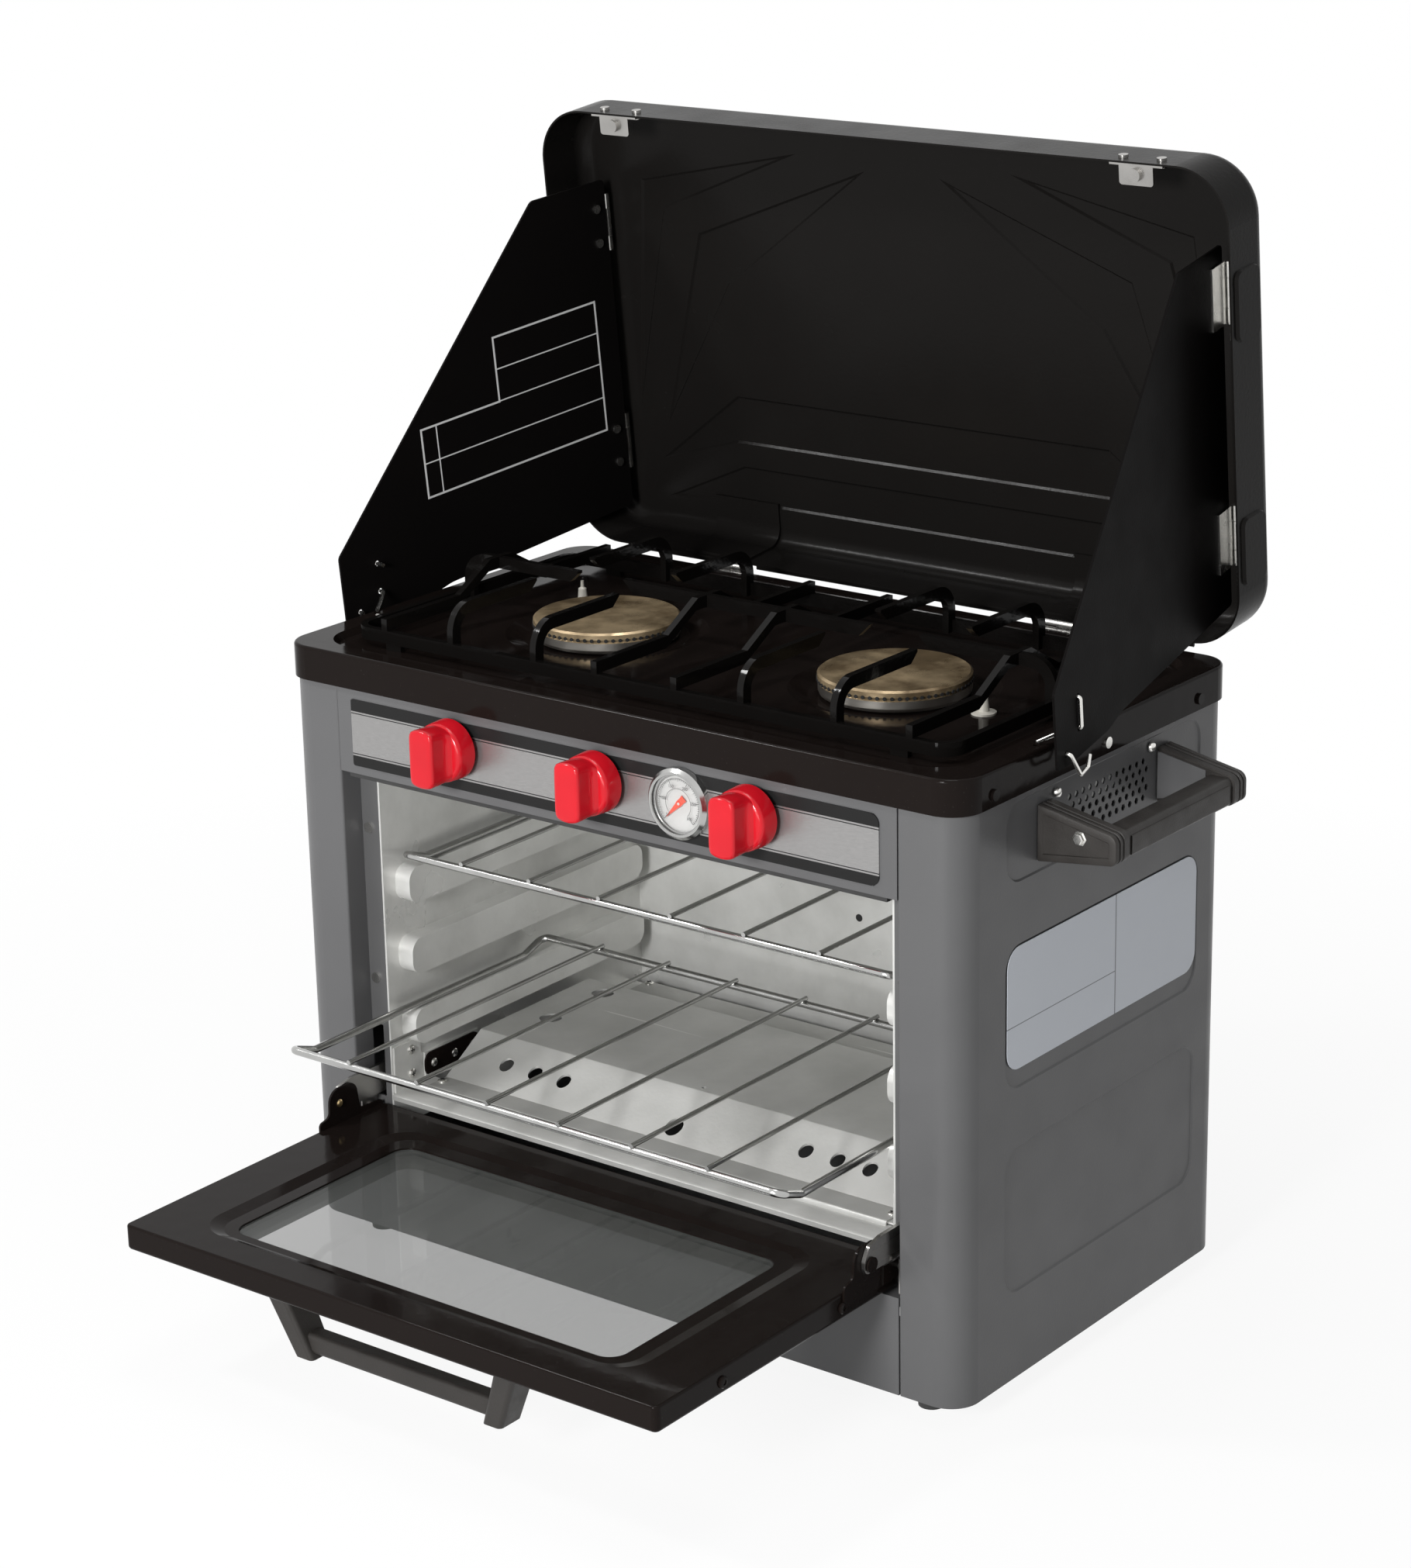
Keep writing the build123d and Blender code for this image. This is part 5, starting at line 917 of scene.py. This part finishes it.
def stage_floor():
    """Pale floor: keeps the object's shadow, and fades to plain white away from it."""
    mesh = bpy.data.meshes.new("floor")
    bm = bmesh.new()
    bmesh.ops.create_grid(bm, x_segments=1, y_segments=1, size=FLOOR_HALF)
    bm.to_mesh(mesh)
    bm.free()
    floor = bpy.data.objects.new("floor", mesh)
    bpy.context.scene.collection.objects.link(floor)
    mat = bpy.data.materials.new("floor_white")
    graph = Graph(mat)
    graph.tree.nodes.clear()
    matte = graph.node("ShaderNodeBsdfDiffuse", Color=FLOOR_GREY)
    white = graph.node("ShaderNodeEmission", Color=WHITE, Strength=1.0)
    away = graph.node("ShaderNodeVectorMath")
    away.operation = "LENGTH"
    graph.feed(away.inputs[0], graph.node("ShaderNodeTexCoord").outputs["Object"])
    fade = graph.span(away.outputs["Value"], FADE_FROM, FADE_TO, 1.0 - SHADE_KEPT, 1.0)
    mix = graph.node("ShaderNodeMixShader")
    graph.feed(mix.inputs[0], graph.math("MULTIPLY", graph.seen(), fade))
    graph.feed(mix.inputs[1], matte.outputs[0])
    graph.feed(mix.inputs[2], white.outputs[0])
    graph.node("ShaderNodeOutputMaterial", Surface=mix.outputs[0])
    mesh.materials.append(mat)


def world_light():
    """White where it is seen, reflected or looked through to; dimmer as fill light."""
    world = bpy.data.worlds.new("studio")
    bpy.context.scene.world = world
    graph = Graph(world)
    graph.tree.nodes.clear()
    level = graph.span(graph.seen(), 0, 1, FILL, 1.0)
    sky = graph.node("ShaderNodeBackground", Color=WHITE, Strength=level)
    graph.node("ShaderNodeOutputWorld", Surface=sky.outputs[0])


def area_light(name, place, target, size, watts):
    light = bpy.data.lights.new(name, "AREA")
    light.shape = "RECTANGLE"
    light.size, light.size_y = size
    light.energy = watts
    obj = bpy.data.objects.new(name, light)
    obj.location = place
    aim = Vector(target) - Vector(place)
    obj.rotation_euler = aim.to_track_quat("-Z", "Y").to_euler()
    bpy.context.scene.collection.objects.link(obj)


def add_camera():
    """Camera of the main view, turned from the front, tilted down and rolled a little."""
    forward = Vector((-math.sin(CAMERA_TURN) * math.cos(CAMERA_TILT),
                      math.cos(CAMERA_TURN) * math.cos(CAMERA_TILT), -math.sin(CAMERA_TILT)))
    right = Vector((math.cos(CAMERA_TURN), math.sin(CAMERA_TURN), 0))
    up = right.cross(forward)
    c, s = math.cos(CAMERA_ROLL), math.sin(CAMERA_ROLL)
    rolled_right, rolled_up = c * right + s * up, c * up - s * right
    data = bpy.data.cameras.new("camera")
    data.lens = LENS
    data.clip_start = CLIP_START
    camera = bpy.data.objects.new("camera", data)
    turn = Matrix((rolled_right, rolled_up, -forward)).transposed().to_4x4()
    camera.matrix_world = Matrix.Translation(CAMERA_AT) @ turn
    bpy.context.scene.collection.objects.link(camera)
    bpy.context.scene.camera = camera


stage_floor()
world_light()
for lamp in LAMPS:
    area_light(*lamp)
add_camera()

bpy.context.scene.view_settings.view_transform = "Standard"
